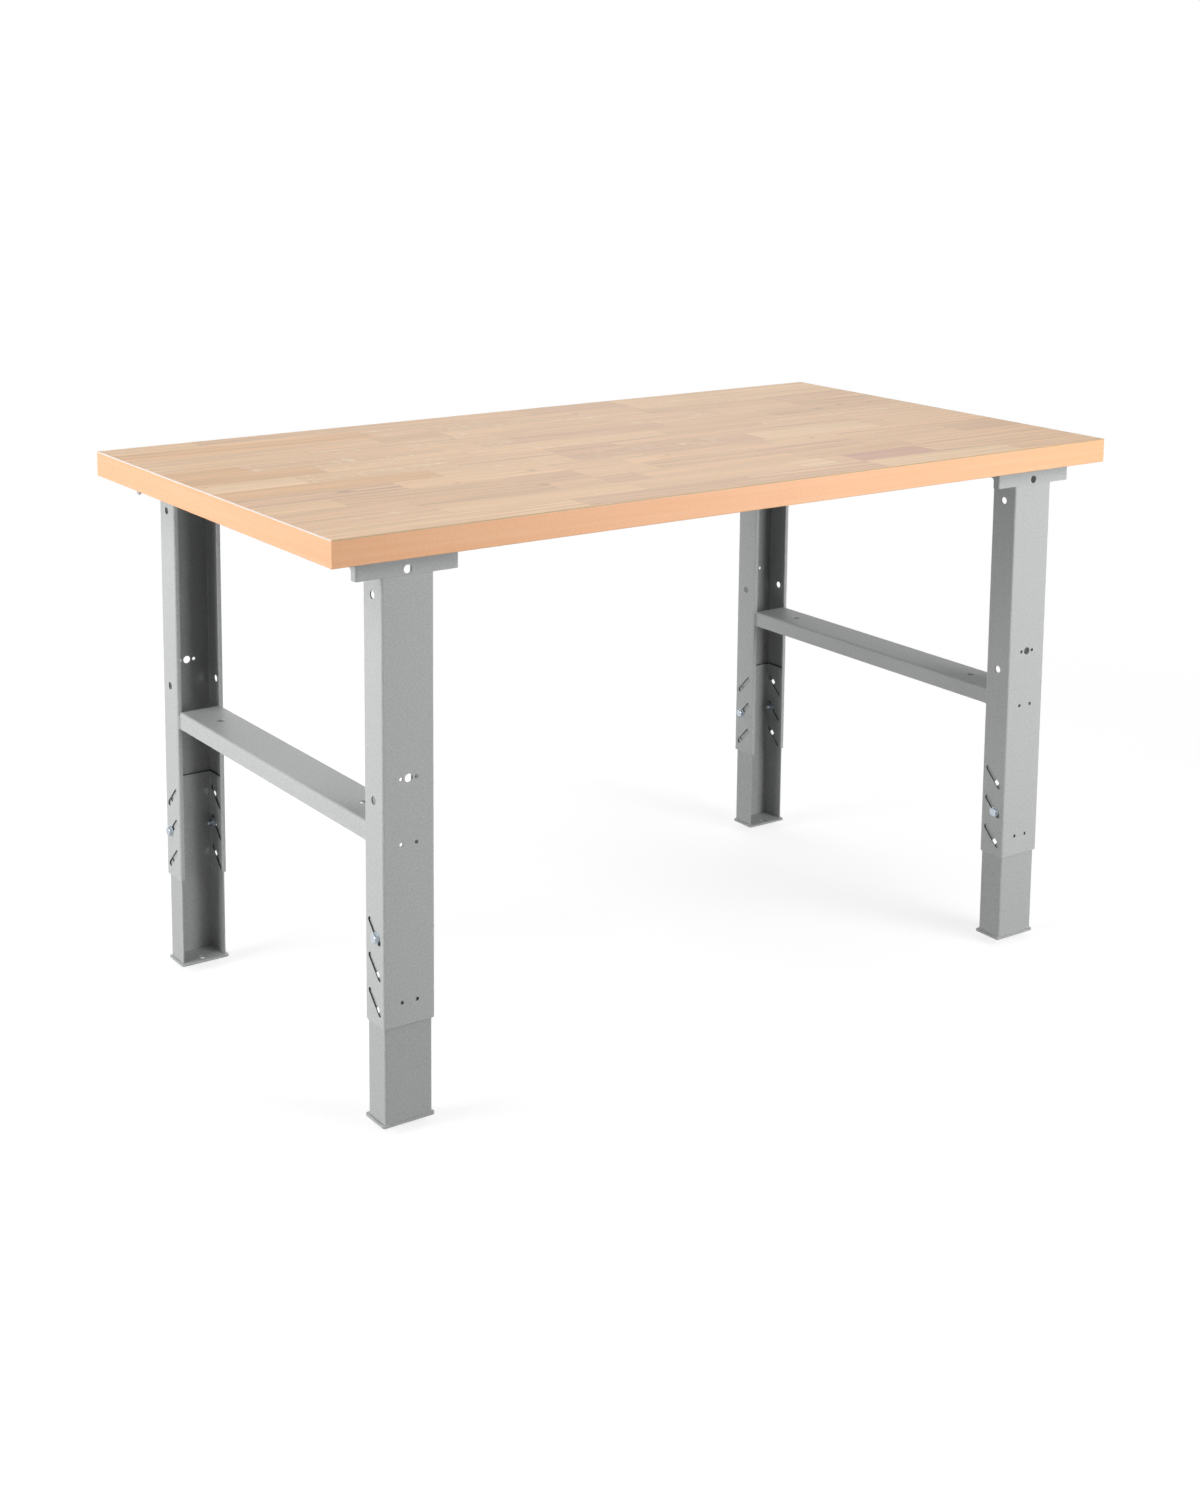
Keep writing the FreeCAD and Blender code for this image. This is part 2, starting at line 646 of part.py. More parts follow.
def make_screws(corner):
    """The screws through one bracket into the board, heads down."""
    screws = []
    for owner, (x, y) in screw_spots():
        if owner != corner:
            continue
        head = doc.addObject("Part::Cone", "screw_head")
        bind(head, "Radius1", "%s * screw_head_width" % HEAD_TOP_SHARE)
        bind(head, "Radius2", "screw_head_width / 2")
        bind(head, "Height", "screw_head_height")
        put(head, z="-screw_head_height")
        blank = fuse("screw_blank", [head, rod("screw_shank", "screw_size", SCREW_LENGTH)])
        arms = []
        arm_shares = (CROSS_LENGTH_SHARE, CROSS_WIDTH_SHARE)
        for share_x, share_y in (arm_shares, arm_shares[::-1]):
            arm = doc.addObject("Part::Box", "cross_arm")
            bind(arm, "Length", "%s * screw_head_width" % share_x)
            bind(arm, "Width", "%s * screw_head_width" % share_y)
            bind(arm, "Height", "screw_head_height / 2 + overrun")
            put(arm, "-%s * screw_head_width / 2" % share_x, "-%s * screw_head_width / 2" % share_y,
                "-screw_head_height - overrun")
            arms.append(arm)
        screw = cut("screw", blank, fuse("cross", arms))
        put(screw, x, y, BOARD_BOTTOM + " - bracket_wall")
        screws.append(screw)
    group("bracket_screws_" + corner, screws)


make_board_layer("tabletop_backing", BOARD_BOTTOM, "backing_thickness", "backing_thickness + overrun")
make_board_layer("tabletop_core", BOARD_BOTTOM + " + backing_thickness",
                 "board_thickness - backing_thickness - face_thickness",
                 SCREW_LENGTH + " - bracket_wall - backing_thickness + thread_gap")
make_board_layer("tabletop_face", BOARD_BOTTOM + " + board_thickness - face_thickness", "face_thickness")
make_long_band("edge_band_front", -1)
make_long_band("edge_band_rear", 1)
make_short_band("edge_band_left", -1)
make_short_band("edge_band_right", 1)
for corner in CORNERS:
    make_outer_leg(corner)
    make_bracket(corner)
    make_inner_leg(corner)
    make_foot_plate(corner)
    make_clamp(corner)
    make_screws(corner)
for name, side in (("left", -1), ("right", 1)):
    make_crossbar(name, side)
    make_crossbar_welds(name, side)
doc.recompute()

for item in doc.Objects:
    if "Invalid" in item.State or "Error" in item.State:
        raise ValueError(item.Label + " failed")
for node in nodes:
    if node.Shape.isNull() or not node.Shape.isValid() or not node.Shape.Solids:
        raise ValueError(node.Label + " has no valid solid")

os.makedirs("parts", exist_ok=True)
for node in nodes:
    node.Shape.exportStep("parts/%s.step" % node.Label)
    print(node.Label, len(node.Shape.Solids), round(node.Shape.Volume), node.Shape.BoundBox)
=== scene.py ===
import math
import random

import bmesh
import bpy
from mathutils import Matrix, Vector


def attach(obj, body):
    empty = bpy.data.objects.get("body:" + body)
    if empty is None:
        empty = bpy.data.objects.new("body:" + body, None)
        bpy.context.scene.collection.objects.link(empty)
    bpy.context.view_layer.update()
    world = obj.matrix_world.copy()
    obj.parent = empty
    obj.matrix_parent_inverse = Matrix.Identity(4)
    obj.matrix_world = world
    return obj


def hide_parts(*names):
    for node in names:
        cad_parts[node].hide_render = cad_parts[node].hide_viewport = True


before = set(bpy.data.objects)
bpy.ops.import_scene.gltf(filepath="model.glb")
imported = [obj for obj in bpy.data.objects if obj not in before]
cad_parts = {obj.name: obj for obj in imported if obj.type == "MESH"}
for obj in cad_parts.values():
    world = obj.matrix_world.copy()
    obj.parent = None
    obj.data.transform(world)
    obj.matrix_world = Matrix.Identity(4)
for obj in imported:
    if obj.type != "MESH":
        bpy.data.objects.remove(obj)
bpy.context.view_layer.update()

MM = 0.001
# the picture's size in pixels
PICTURE_WIDTH = 1200
PICTURE_HEIGHT = 1502

# the bench, in millimetres: first its board
BOARD_LENGTH = 1500
BOARD_WIDTH = 800
HALF_LENGTH = BOARD_LENGTH / 2
HALF_WIDTH = BOARD_WIDTH / 2
BOARD_BOTTOM = 837
BOARD_TOP = 877
BAND = 2
ARRIS = 1.5
FACE_THICKNESS = 1
# where the legs stand, and the folded sheet they are made of
LEG_X = 614
LEG_FACE_Y = 368
WALL = 2
BEND = 3.5
# the outer legs, lipped channels
LEG_WIDTH = 84
LEG_DEPTH = 52.5
LIP = 8
OUTER_BOTTOM = 150
OUTER_LENGTH = 685
NOTCH_HEIGHT = 656
# round holes by their radius, and their heights up an outer leg
SMALL_HOLE = 2.75
SIDE_HOLE = 6
LARGE_HOLE = 6.25
LARGE_HOLE_HEIGHT = 364.5
SMALL_HOLE_HEIGHTS = (LARGE_HOLE_HEIGHT, 269, 34.5)
SMALL_HOLE_REACH = 12.5
SIDE_HOLE_HEIGHTS = (332, 628)
# the slanted slots of both channels
SLOTS = 3
SLOT_WIDTH = 9
SLOT_RUN = 26.5
SLOT_RISE = 26.5
SLOT_PITCH = 53
OUTER_SLOT_HEIGHT = 33
INNER_SLOT_HEIGHT = 165
# the inner legs, plain channels on flat feet
INNER_LENGTH = 312.5
INNER_WIDTH = 78
INNER_DEPTH = 46.5
INNER_SETBACK = 3
# a band along the upper end of an inner leg gets painted shade, which reads as a dark line inside the outer leg
SHADED_END = 1.6
# how far a leg can still be drawn out from the height in the photograph
LEG_REACH = 12.5
FOOT_HALF_WIDTH = 43
FOOT_DEPTH = 54
FOOT_THICKNESS = 4
FOOT_SETBACK = 1.5
FOOT_CORNER = 4
ANCHOR_HOLE_Y = 40
# the brackets; their side returns are short below and slant out to full depth above
BRACKET_WIDTH = 165.5
BRACKET_HEIGHT = 31
BRACKET_BOTTOM = 806
BRACKET_HOLE_HEIGHT = 8.5
RETURN_DEPTH = 12.5
RETURN_SLANT_HEIGHT = 14
SCREW_SPOTS = [(x, y) for x in (-62.75, 62.75) for y in (16, 38)]
# the crossbars
BAR_WIDTH = 76
BAR_HALF_LENGTH = 315.5
BAR_BOTTOM = 414
BAR_HEIGHT = 28
BAR_BEND = 5
BAR_HOLE_REACH = 237.5
# the clamp bolts' places behind the legs' faces and above the floor
CLAMP_SETBACK = 19.25
CLAMP_HEIGHTS = {"front_left": 282, "front_right": 229, "rear_left": 229, "rear_right": 229}
# how strongly painted shade darkens the inside of each channel, as a share
OUTER_SHADE_SHARE = 0.33
INNER_SHADE_SHARE = 0.14
# the painted edges' softness, and how many facets bends and small round holes have
EDGE_SOFTNESS = 0.4
BEND_FACETS = 6
HOLE_SIDES = 40
# a slot's ends have facets that fall evenly on both sides of its slant
SLOT_SIDES = 44
# a tool's length that passes a wall, and one that passes a whole leg
THROUGH_WALL = 12
THROUGH_LEG = 120
# front legs keep the leg's own axes, rear legs are turned half round
CORNERS = {
    "front_left": (-1, -1),
    "front_right": (1, -1),
    "rear_left": (-1, 1),
    "rear_right": (1, 1),
}


def linear(colour):
    """An sRGB hex colour as linear light."""
    parts = [int(colour[i:i + 2], 16) / 255 for i in (0, 2, 4)]
    return [part / 12.92 if part <= 0.04045 else ((part + 0.055) / 1.055) ** 2.4 for part in parts] + [1]


# Shapes

def everything(*part):
    """The test that every corner, edge and face passes."""
    return True


def remove(piece):
    bpy.data.objects.remove(piece, do_unlink=True)


def select_only(piece):
    bpy.ops.object.select_all(action="DESELECT")
    piece.select_set(True)
    bpy.context.view_layer.objects.active = piece


def settle(name):
    """Names the new primitive and puts its place, turn and size into its mesh."""
    piece = bpy.context.object
    piece.name = name
    piece.data.name = name
    bpy.ops.object.transform_apply(location=True, rotation=True, scale=True)
    return piece


def block(name, low, high):
    """A cuboid between two corners in millimetres."""
    bpy.ops.object.select_all(action="DESELECT")
    middle = [(a + b) / 2 * MM for a, b in zip(low, high)]
    size = [(b - a) * MM for a, b in zip(low, high)]
    bpy.ops.mesh.primitive_cube_add(size=1, location=middle, scale=size)
    return settle(name)


def bar(name, radius, length, middle, along="Z", sides=HOLE_SIDES, top_radius=None, spin=0):
    """A round bar, or a cone where a top radius is given, in millimetres. An upright one can be spun."""
    bpy.ops.object.select_all(action="DESELECT")
    turn = {"X": (0, math.pi / 2, 0), "Y": (-math.pi / 2, 0, 0), "Z": (0, 0, spin)}[along]
    place = [part * MM for part in middle]
    if top_radius is None:
        top_radius = radius
    bpy.ops.mesh.primitive_cone_add(vertices=sides, radius1=radius * MM, radius2=top_radius * MM,
                                    depth=length * MM, location=place, rotation=turn)
    return settle(name)


def open_edit(piece, kind, test):
    """Opens a piece in edit mode with the parts selected that pass a test, which is given millimetres."""
    select_only(piece)
    bpy.ops.object.mode_set(mode="EDIT")
    bpy.ops.mesh.select_mode(type=kind)
    bpy.ops.mesh.select_all(action="DESELECT")
    mesh = bmesh.from_edit_mesh(piece.data)
    if kind == "FACE":
        for face in mesh.faces:
            face.select_set(bool(test(face.calc_center_median() / MM, face.normal)))
    elif kind == "EDGE":
        for edge in mesh.edges:
            edge.select_set(bool(test(edge.verts[0].co / MM, edge.verts[1].co / MM)))
    else:
        for vert in mesh.verts:
            vert.select_set(bool(test(vert.co / MM)))
    bmesh.update_edit_mesh(piece.data)


def close_edit():
    bpy.ops.object.mode_set(mode="OBJECT")


def delete_faces(piece, test):
    open_edit(piece, "FACE", test)
    bpy.ops.mesh.delete(type="FACE")
    close_edit()


def bevel_edges(piece, test, size, segments):
    open_edit(piece, "EDGE", test)
    bpy.ops.mesh.bevel(offset=size * MM, segments=segments, affect="EDGES")
    close_edit()


def slice_faces(piece, test, place, normal):
    """Cuts the faces that pass a test along a plane."""
    open_edit(piece, "FACE", test)
    bpy.ops.mesh.bisect(plane_co=[part * MM for part in place], plane_no=normal)
    close_edit()


def finish_with(piece, kind, **settings):
    """Adds a modifier and applies it."""
    select_only(piece)
    modifier = piece.modifiers.new(kind.title(), kind)
    for key, setting in settings.items():
        setattr(modifier, key, setting)
    bpy.ops.object.modifier_apply(modifier=modifier.name)


def join(pieces):
    select_only(pieces[0])
    for piece in pieces:
        piece.select_set(True)
    bpy.ops.object.join()
    return pieces[0]


def combine(piece, tools, operation="DIFFERENCE"):
    """Cuts the tools out of a piece, or keeps what they share with it."""
    tool = join(tools)
    finish_with(piece, "BOOLEAN", object=tool, operation=operation, solver="EXACT")
    remove(tool)


def soften(piece, size=EDGE_SOFTNESS, angle=50):
    """Rounds the sharp edges a little and shades the piece smooth between them."""
    if size:
        finish_with(piece, "BEVEL", width=size * MM, segments=2, limit_method="ANGLE",
                    angle_limit=math.radians(40), use_clamp_overlap=False)
    select_only(piece)
    bpy.ops.object.shade_smooth_by_angle(angle=math.radians(angle))
    finish_with(piece, "WEIGHTED_NORMAL", mode="FACE_AREA", weight=50, keep_sharp=True)


def folded_sheet(piece):
    """Gives an open shell its sheet thickness, inwards."""
    finish_with(piece, "SOLIDIFY", thickness=WALL * MM, offset=-1, use_even_offset=True)


def copy_to(piece, name, place, angle=0, axis="Z"):
    """A copy with a mesh of its own, turned by an angle in degrees and then moved in millimetres."""
    select_only(piece)
    bpy.ops.object.duplicate()
    made = bpy.context.object
    made.name = name
    made.data.name = name
    turn = Matrix.Rotation(math.radians(angle), 4, axis)
    made.matrix_world = Matrix.Translation(Vector(place) * MM) @ turn
    bpy.ops.object.transform_apply(location=True, rotation=True, scale=True)
    return made


def paint_channel_shade(piece, width, depth, length, inside, shaded_end=0):
    """Paints shade on the faces of a channel as a share: partly inside it, and fully behind its lips, on the
    walls of its holes and along a band at its upper end."""
    shade_share = piece.data.attributes.new("painted_shade", "FLOAT", "FACE")
    for face in piece.data.polygons:
        x, y, z = face.center / MM
        inwards = width / 2 - abs(x)
        # the wall of a hole has the middle of its faces in the thick of the sheet
        in_web = 0.2 * WALL < y < 0.8 * WALL and inwards > BEND
        in_flange = 0.2 * WALL < inwards < 0.8 * WALL and BEND < y < depth - BEND
        in_hole = (in_web or in_flange) and 1 < z < length - 1
        behind_lip = face.normal.y < -0.5 and abs(y - depth + WALL) < 0.1 * WALL
        if behind_lip or in_hole or shaded_end and z > length - shaded_end:
            shade_share.data[face.index].value = 1
        elif inwards > 0.9 * WALL and 0.9 * WALL < y < depth - 0.9 * WALL:
            # the painted shade is lighter on a channel's sides than on its back
            shade_share.data[face.index].value = inside * (0.5 if abs(face.normal.x) > 0.5 else 1.1)


# Materials

def add(tree, kind, inputs=(), stops=(), **settings):
    """Adds a node. Its inputs are values, nodes, or a node with the name of an output."""
    made = tree.nodes.new("ShaderNode" + kind)
    for key, setting in settings.items():
        setattr(made, key, setting)
    for number, (place, colour) in enumerate(stops):
        stop = made.color_ramp.elements[number] if number < 2 else made.color_ramp.elements.new(place)
        stop.position = place
        stop.color = colour
    for key, value in dict(inputs).items():
        if isinstance(key, int):
            socket = made.inputs[key]
        else:
            socket = [item for item in made.inputs if item.enabled and item.name == key][0]
        if isinstance(value, tuple) and isinstance(value[0], bpy.types.Node):
            tree.links.new(value[0].outputs[value[1]], socket)
        elif isinstance(value, bpy.types.Node):
            tree.links.new([item for item in value.outputs if item.enabled][0], socket)
        else:
            socket.default_value = value
    return made


def new_material(name):
    """An empty material with its tree, and the object's own coordinates for its patterns."""
    material = bpy.data.materials.new(name)
    material.use_nodes = True
    tree = material.node_tree
    tree.nodes.clear()
    return material, tree, (add(tree, "TexCoord"), "Object")


def grey(level):
    return [level, level, level, 1]


def make_powder_coat(name, tones=("AFB1B0", "BFC1C0"), roughness=(0.5, 0.62), pale="E4E6E5"):
    """Polyester powder coat, sprayed and baked: light grey, satin, with a fine pebbled skin that breaks up
    the highlights, a slightly grainy look and pale specks."""
    material, tree, place = new_material(name)
    # pebbles of about 1.3 mm on slow waves of about 7 mm
    pebbles = add(tree, "TexNoise", {"Vector": place, "Scale": 1 / (1.3 * MM), "Detail": 2, "Roughness": 0.5})
    waves = add(tree, "TexNoise", {"Vector": place, "Scale": 1 / (7 * MM), "Detail": 1})
    height = add(tree, "Math", {0: pebbles, 1: 0.7, 2: waves}, operation="MULTIPLY_ADD")
    bump = add(tree, "Bump", {"Height": height, "Strength": 0.35, "Distance": 0.12 * MM})
    # mottling of about 3 mm, as wide as the render can show
    mottle = add(tree, "TexNoise", {"Vector": place, "Scale": 1 / (3.2 * MM), "Detail": 3, "Roughness": 0.6})
    colour = add(tree, "ValToRGB", {"Fac": mottle},
                 stops=((0.32, linear(tones[0])), (0.68, linear(tones[1]))))
    # pale specks about half a millimetre wide
    specks = add(tree, "TexNoise", {"Vector": place, "Scale": 1 / (1.1 * MM), "Detail": 0})
    speck_mask = add(tree, "MapRange", {"Value": specks, "From Min": 0.7, "From Max": 0.78, "To Max": 0.34})
    colour = add(tree, "Mix", {"Factor": speck_mask, "A": colour, "B": linear(pale)}, data_type="RGBA")
    # painted shade: inside the channels, on the walls of their holes and along the slider's top band the coat
    # is darkened towards dark grey
    shade_share = add(tree, "Attribute", attribute_name="painted_shade")
    colour = add(tree, "Mix", {"Factor": (shade_share, "Fac"), "A": colour, "B": linear("303234")}, data_type="RGBA")
    rough = add(tree, "MapRange", {"Value": waves, "From Min": 0.3, "From Max": 0.7,
                                   "To Min": roughness[0], "To Max": roughness[1]})
    shader = add(tree, "BsdfPrincipled", {"Base Color": colour, "Roughness": rough, "IOR": 1.5, "Normal": bump})
    add(tree, "OutputMaterial", {"Surface": shader})
    return material


def make_zinc():
    """Zinc plating on rolled steel, blue passivated: a cool, slightly cloudy metal with fine drawn lines."""
    material, tree, place = new_material("zinc_plated_steel_blue")
    clouds = add(tree, "TexNoise", {"Vector": place, "Scale": 1 / (3 * MM), "Detail": 4, "Roughness": 0.65})
    colour = add(tree, "ValToRGB", {"Fac": clouds},
                 stops=((0.3, linear("AEB8C4")), (0.7, linear("CDD3D8"))))
    rough = add(tree, "MapRange", {"Value": clouds, "From Min": 0.3, "From Max": 0.7,
                                   "To Min": 0.28, "To Max": 0.42})
    scratches = add(tree, "TexNoise", {"Vector": place, "Scale": 1 / (0.4 * MM), "Detail": 2})
    bump = add(tree, "Bump", {"Height": scratches, "Strength": 0.25, "Distance": 0.03 * MM})
    shader = add(tree, "BsdfPrincipled", {"Base Color": colour, "Metallic": 1, "Roughness": rough,
                                          "Normal": bump})
    add(tree, "OutputMaterial", {"Surface": shader})
    return material


def make_band_beech(name, along, tones):
    """Steamed beech banding, sanded and lacquered matt: an even peach tone with faint long bands and the
    short fine dark flecks of beech. Its grain runs along the edge it covers."""
    material, tree, place = new_material(name)
    if along == "Y":
        turned = add(tree, "Mapping", {"Vector": place, "Rotation": (0, 0, math.pi / 2)})
        place = (turned, "Vector")
    # growth bands about 6 mm high and a third of a metre long
    drawn_out = add(tree, "Mapping", {"Vector": place, "Scale": (3, 150, 150)})
    bands = add(tree, "TexNoise", {"Vector": drawn_out, "Scale": 1, "Detail": 4, "Roughness": 0.55,
                                   "Distortion": 0.4})
    tone = add(tree, "ValToRGB", {"Fac": bands},
               stops=((0.3, linear(tones[0])), (0.5, linear(tones[1])), (0.72, linear(tones[2]))))
    # dark flecks about 4 mm long and 1.2 mm high
    drawn_out = add(tree, "Mapping", {"Vector": place, "Scale": (230, 850, 850)})
    flecks = add(tree, "TexNoise", {"Vector": drawn_out, "Scale": 1, "Detail": 2, "Roughness": 0.5})
    mask = add(tree, "MapRange", {"Value": flecks, "From Min": 0.52, "From Max": 0.72, "To Max": 0.36})
    colour = add(tree, "Mix", {"Factor": mask, "A": tone, "B": linear("D98F5E")}, data_type="RGBA")
    bump = add(tree, "Bump", {"Height": flecks, "Strength": 0.2, "Distance": 0.05 * MM})
    shader = add(tree, "BsdfPrincipled", {"Base Color": colour, "Roughness": 0.45, "IOR": 1.5, "Normal": bump})
    add(tree, "OutputMaterial", {"Surface": shader})
    return material


# Dark knots in the board's face: millimetres from its left end, from its rear edge, and across.
KNOTS = ((505, 520, 9), (176, 515, 14), (352, 545, 6), (768, 524, 6), (1078, 523, 6), (459, 627, 10),
         (1304, 282, 11), (1366, 268, 9), (1440, 272, 8), (14, 378, 6), (880, 100, 7))


def make_stave_beech():
    """Strip parquet of steamed beech, sanded and lacquered matt: each stave has its own pale tone, long
    streaks, fine dark pores and, in some, bright slanting ray flecks."""
    material, tree, spot = new_material("beech_staves_lacquered")
    stave_colour = add(tree, "Attribute", attribute_name="stave_colour")
    seed = add(tree, "Attribute", attribute_name="stave_seed")
    slant = add(tree, "Attribute", attribute_name="stave_slant")
    streak = add(tree, "Attribute", attribute_name="stave_streak")
    ray = add(tree, "Attribute", attribute_name="stave_ray")
    # every stave is cut from another place of the wood and at a slightly different angle
    parts = add(tree, "SeparateXYZ", {"Vector": spot})
    across = add(tree, "Math", {0: (parts, "X"), 1: (slant, "Fac"), 2: (parts, "Y")}, operation="MULTIPLY_ADD")
    along = add(tree, "Math", {0: (seed, "Fac"), 1: 7.3, 2: (parts, "X")}, operation="MULTIPLY_ADD")
    place = add(tree, "CombineXYZ", {"X": along, "Y": across, "Z": (seed, "Fac")})
    # streaks about 8 mm wide and 350 mm long, each split into finer ones
    drawn_out = add(tree, "Mapping", {"Vector": place, "Scale": (2.2, 110, 1)})
    streaks = add(tree, "TexNoise", {"Vector": drawn_out, "Scale": 1, "Detail": 6, "Roughness": 0.72,
                                     "Distortion": 0.35})
    streaks_depth = add(tree, "Math", {0: streaks, 1: -0.5}, operation="ADD")
    streaks_depth = add(tree, "Math", {0: streaks_depth, 1: (streak, "Fac")}, operation="MULTIPLY")
    # fine grain about 1.2 mm wide and 40 mm long
    drawn_out = add(tree, "Mapping", {"Vector": place, "Scale": (25, 800, 1)})
    grain = add(tree, "TexNoise", {"Vector": drawn_out, "Scale": 1, "Detail": 3, "Roughness": 0.6})
    grain_depth = add(tree, "Math", {0: grain, 1: -0.5}, operation="ADD")
    depth = add(tree, "Math", {0: grain_depth, 1: 0.14, 2: streaks_depth}, operation="MULTIPLY_ADD")
    shade = add(tree, "Math", {0: depth, 1: 1}, operation="ADD")
    tone = add(tree, "Mix", {"Factor": 1, "A": (stave_colour, "Color"), "B": shade},
               data_type="RGBA", blend_type="MULTIPLY")
    # pores: dark dashes 4 mm long and 0.7 mm wide
    drawn_out = add(tree, "Mapping", {"Vector": place, "Scale": (220, 1300, 1)})
    pores = add(tree, "TexNoise", {"Vector": drawn_out, "Scale": 1, "Detail": 1})
    pore_mask = add(tree, "MapRange", {"Value": pores, "From Min": 0.62, "From Max": 0.72, "To Max": 0.3})
    tone = add(tree, "Mix", {"Factor": pore_mask, "A": tone, "B": linear("B58B6C")}, data_type="RGBA")
    # ray flecks: bright strokes about 20 mm long that slant across the stave
    slanted = add(tree, "Mapping", {"Vector": place, "Rotation": (0, 0, math.radians(58))})
    drawn_out = add(tree, "Mapping", {"Vector": slanted, "Scale": (48, 260, 1)})
    rays = add(tree, "TexNoise", {"Vector": drawn_out, "Scale": 1, "Detail": 2, "Distortion": 0.5})
    ray_mask = add(tree, "MapRange", {"Value": rays, "From Min": 0.6, "From Max": 0.65, "To Max": 0.9})
    # they come in patches about 70 mm long and 30 mm wide
    drawn_out = add(tree, "Mapping", {"Vector": place, "Scale": (14, 30, 1)})
    patches = add(tree, "TexNoise", {"Vector": drawn_out, "Scale": 1, "Detail": 1})
    patch_mask = add(tree, "MapRange", {"Value": patches, "From Min": 0.47, "From Max": 0.57})
    ray_mask = add(tree, "Math", {0: ray_mask, 1: patch_mask}, operation="MULTIPLY")
    ray_mask = add(tree, "Math", {0: ray_mask, 1: (ray, "Fac")}, operation="MULTIPLY")
    tone = add(tree, "Mix", {"Factor": ray_mask, "A": tone, "B": linear("FBEBD2")}, data_type="RGBA")
    # knots, drawn out along the grain and ragged at the rim
    warp = add(tree, "TexNoise", {"Vector": spot, "Scale": 1 / (9 * MM), "Detail": 2})
    ragged = add(tree, "VectorMath", {0: (warp, "Color"), 1: (0.006, 0.006, 0), 2: spot},
                 operation="MULTIPLY_ADD")
    dark = None
    for from_left, from_rear, size in KNOTS:
        # the warp moves every place by 3 mm on average
        middle = ((from_left - HALF_LENGTH) * MM + 0.003, (HALF_WIDTH - from_rear) * MM + 0.003, 0)
        offset = add(tree, "VectorMath", {0: ragged, 1: middle}, operation="SUBTRACT")
        flat = add(tree, "VectorMath", {0: offset, 1: (0.6, 1.3, 0)}, operation="MULTIPLY")
        far = add(tree, "VectorMath", {0: flat}, operation="LENGTH")
        knot = add(tree, "MapRange", {"Value": (far, "Value"), "From Min": size * MM * 0.15,
                                      "From Max": size * MM, "To Min": 0.45, "To Max": 0},
                   interpolation_type="SMOOTHSTEP")
        dark = knot if dark is None else add(tree, "Math", {0: dark, 1: knot}, operation="MAXIMUM")
    tone = add(tree, "Mix", {"Factor": dark, "A": tone, "B": linear("8A6A5C")}, data_type="RGBA")
    bump = add(tree, "Bump", {"Height": grain, "Strength": 0.15, "Distance": 0.05 * MM})
    rough = add(tree, "MapRange", {"Value": grain, "From Min": 0.3, "From Max": 0.7,
                                   "To Min": 0.5, "To Max": 0.6})
    shader = add(tree, "BsdfPrincipled", {"Base Color": tone, "Roughness": rough, "IOR": 1.4, "Normal": bump})
    add(tree, "OutputMaterial", {"Surface": shader})
    return material


def make_arris_light_line(name, colour):
    """A thin line of painted light for a band's rounded arris: a painted highlight, shade or reflection in a
    tone of its own, with a little of the wood's tone in it here and there."""
    material, tree, place = new_material(name)
    breakup = add(tree, "TexNoise", {"Vector": place, "Scale": 1 / (12 * MM), "Detail": 3})
    mask = add(tree, "MapRange", {"Value": breakup, "From Min": 0.35, "From Max": 0.65, "To Max": 0.25})
    tone = add(tree, "Mix", {"Factor": mask, "A": linear(colour), "B": linear("D9B48F")}, data_type="RGBA")
    shader = add(tree, "BsdfPrincipled", {"Base Color": tone, "Roughness": 0.4, "IOR": 1.5})
    add(tree, "OutputMaterial", {"Surface": shader})
    return material


def make_core():
    """Pressed chips of wood, sawn: a coarse mix of light and dark chips 2 to 8 mm long."""
    material, tree, place = new_material("pressed_wood_chips")
    chips = add(tree, "TexVoronoi", {"Vector": place, "Scale": 1 / (4 * MM)})
    colour = add(tree, "ValToRGB", {"Fac": (chips, "Color")},
                 stops=((0.2, linear("A98560")), (0.8, linear("D2B189"))))
    bump = add(tree, "Bump", {"Height": (chips, "Distance"), "Strength": 0.4, "Distance": 0.2 * MM})
    shader = add(tree, "BsdfPrincipled", {"Base Color": colour, "Roughness": 0.8, "Normal": bump})
    add(tree, "OutputMaterial", {"Surface": shader})
    return material


def make_backing():
    """Balancing paper soaked in resin and pressed on the underside: dark grey, dull, with faint fibres."""
    material, tree, place = new_material("resin_backing_paper")
    fibres = add(tree, "TexNoise", {"Vector": place, "Scale": 1 / (2.5 * MM), "Detail": 4, "Roughness": 0.7,
                                    "Distortion": 1.5})
    clouds = add(tree, "TexNoise", {"Vector": place, "Scale": 1 / (60 * MM), "Detail": 2})
    cloud_share = add(tree, "Math", {0: clouds, 1: 0.4}, operation="MULTIPLY")
    blend = add(tree, "Math", {0: fibres, 1: 0.6, 2: cloud_share}, operation="MULTIPLY_ADD")
    colour = add(tree, "ValToRGB", {"Fac": blend},
                 stops=((0.35, linear("5A5E61")), (0.65, linear("707477"))))
    bump = add(tree, "Bump", {"Height": fibres, "Strength": 0.25, "Distance": 0.05 * MM})
    shader = add(tree, "BsdfPrincipled", {"Base Color": colour, "Roughness": 0.6, "Normal": bump})
    add(tree, "OutputMaterial", {"Surface": shader})
    return material


paint = make_powder_coat("powder_coat_light_grey")
# the sliding legs' coat is a little darker in tone
slider_paint = make_powder_coat("powder_coat_on_slider", ("A6A8A7", "B6B8B7"))
# the powder runs together on a weld bead and dries glossier, and its whiter specks are painted glints
bead_paint = make_powder_coat("powder_coat_on_weld", roughness=(0.24, 0.34), pale="F4F6F6")
zinc = make_zinc()
band_beech_long = make_band_beech("beech_band_lacquered_long", "X", ("F8BA89", "FABE8E", "FCC396"))
# the short bands come from a slightly redder strip
band_beech_short = make_band_beech("beech_band_lacquered_short", "Y", ("F5B186", "F7B58B", "F9BA93"))
stave_beech = make_stave_beech()
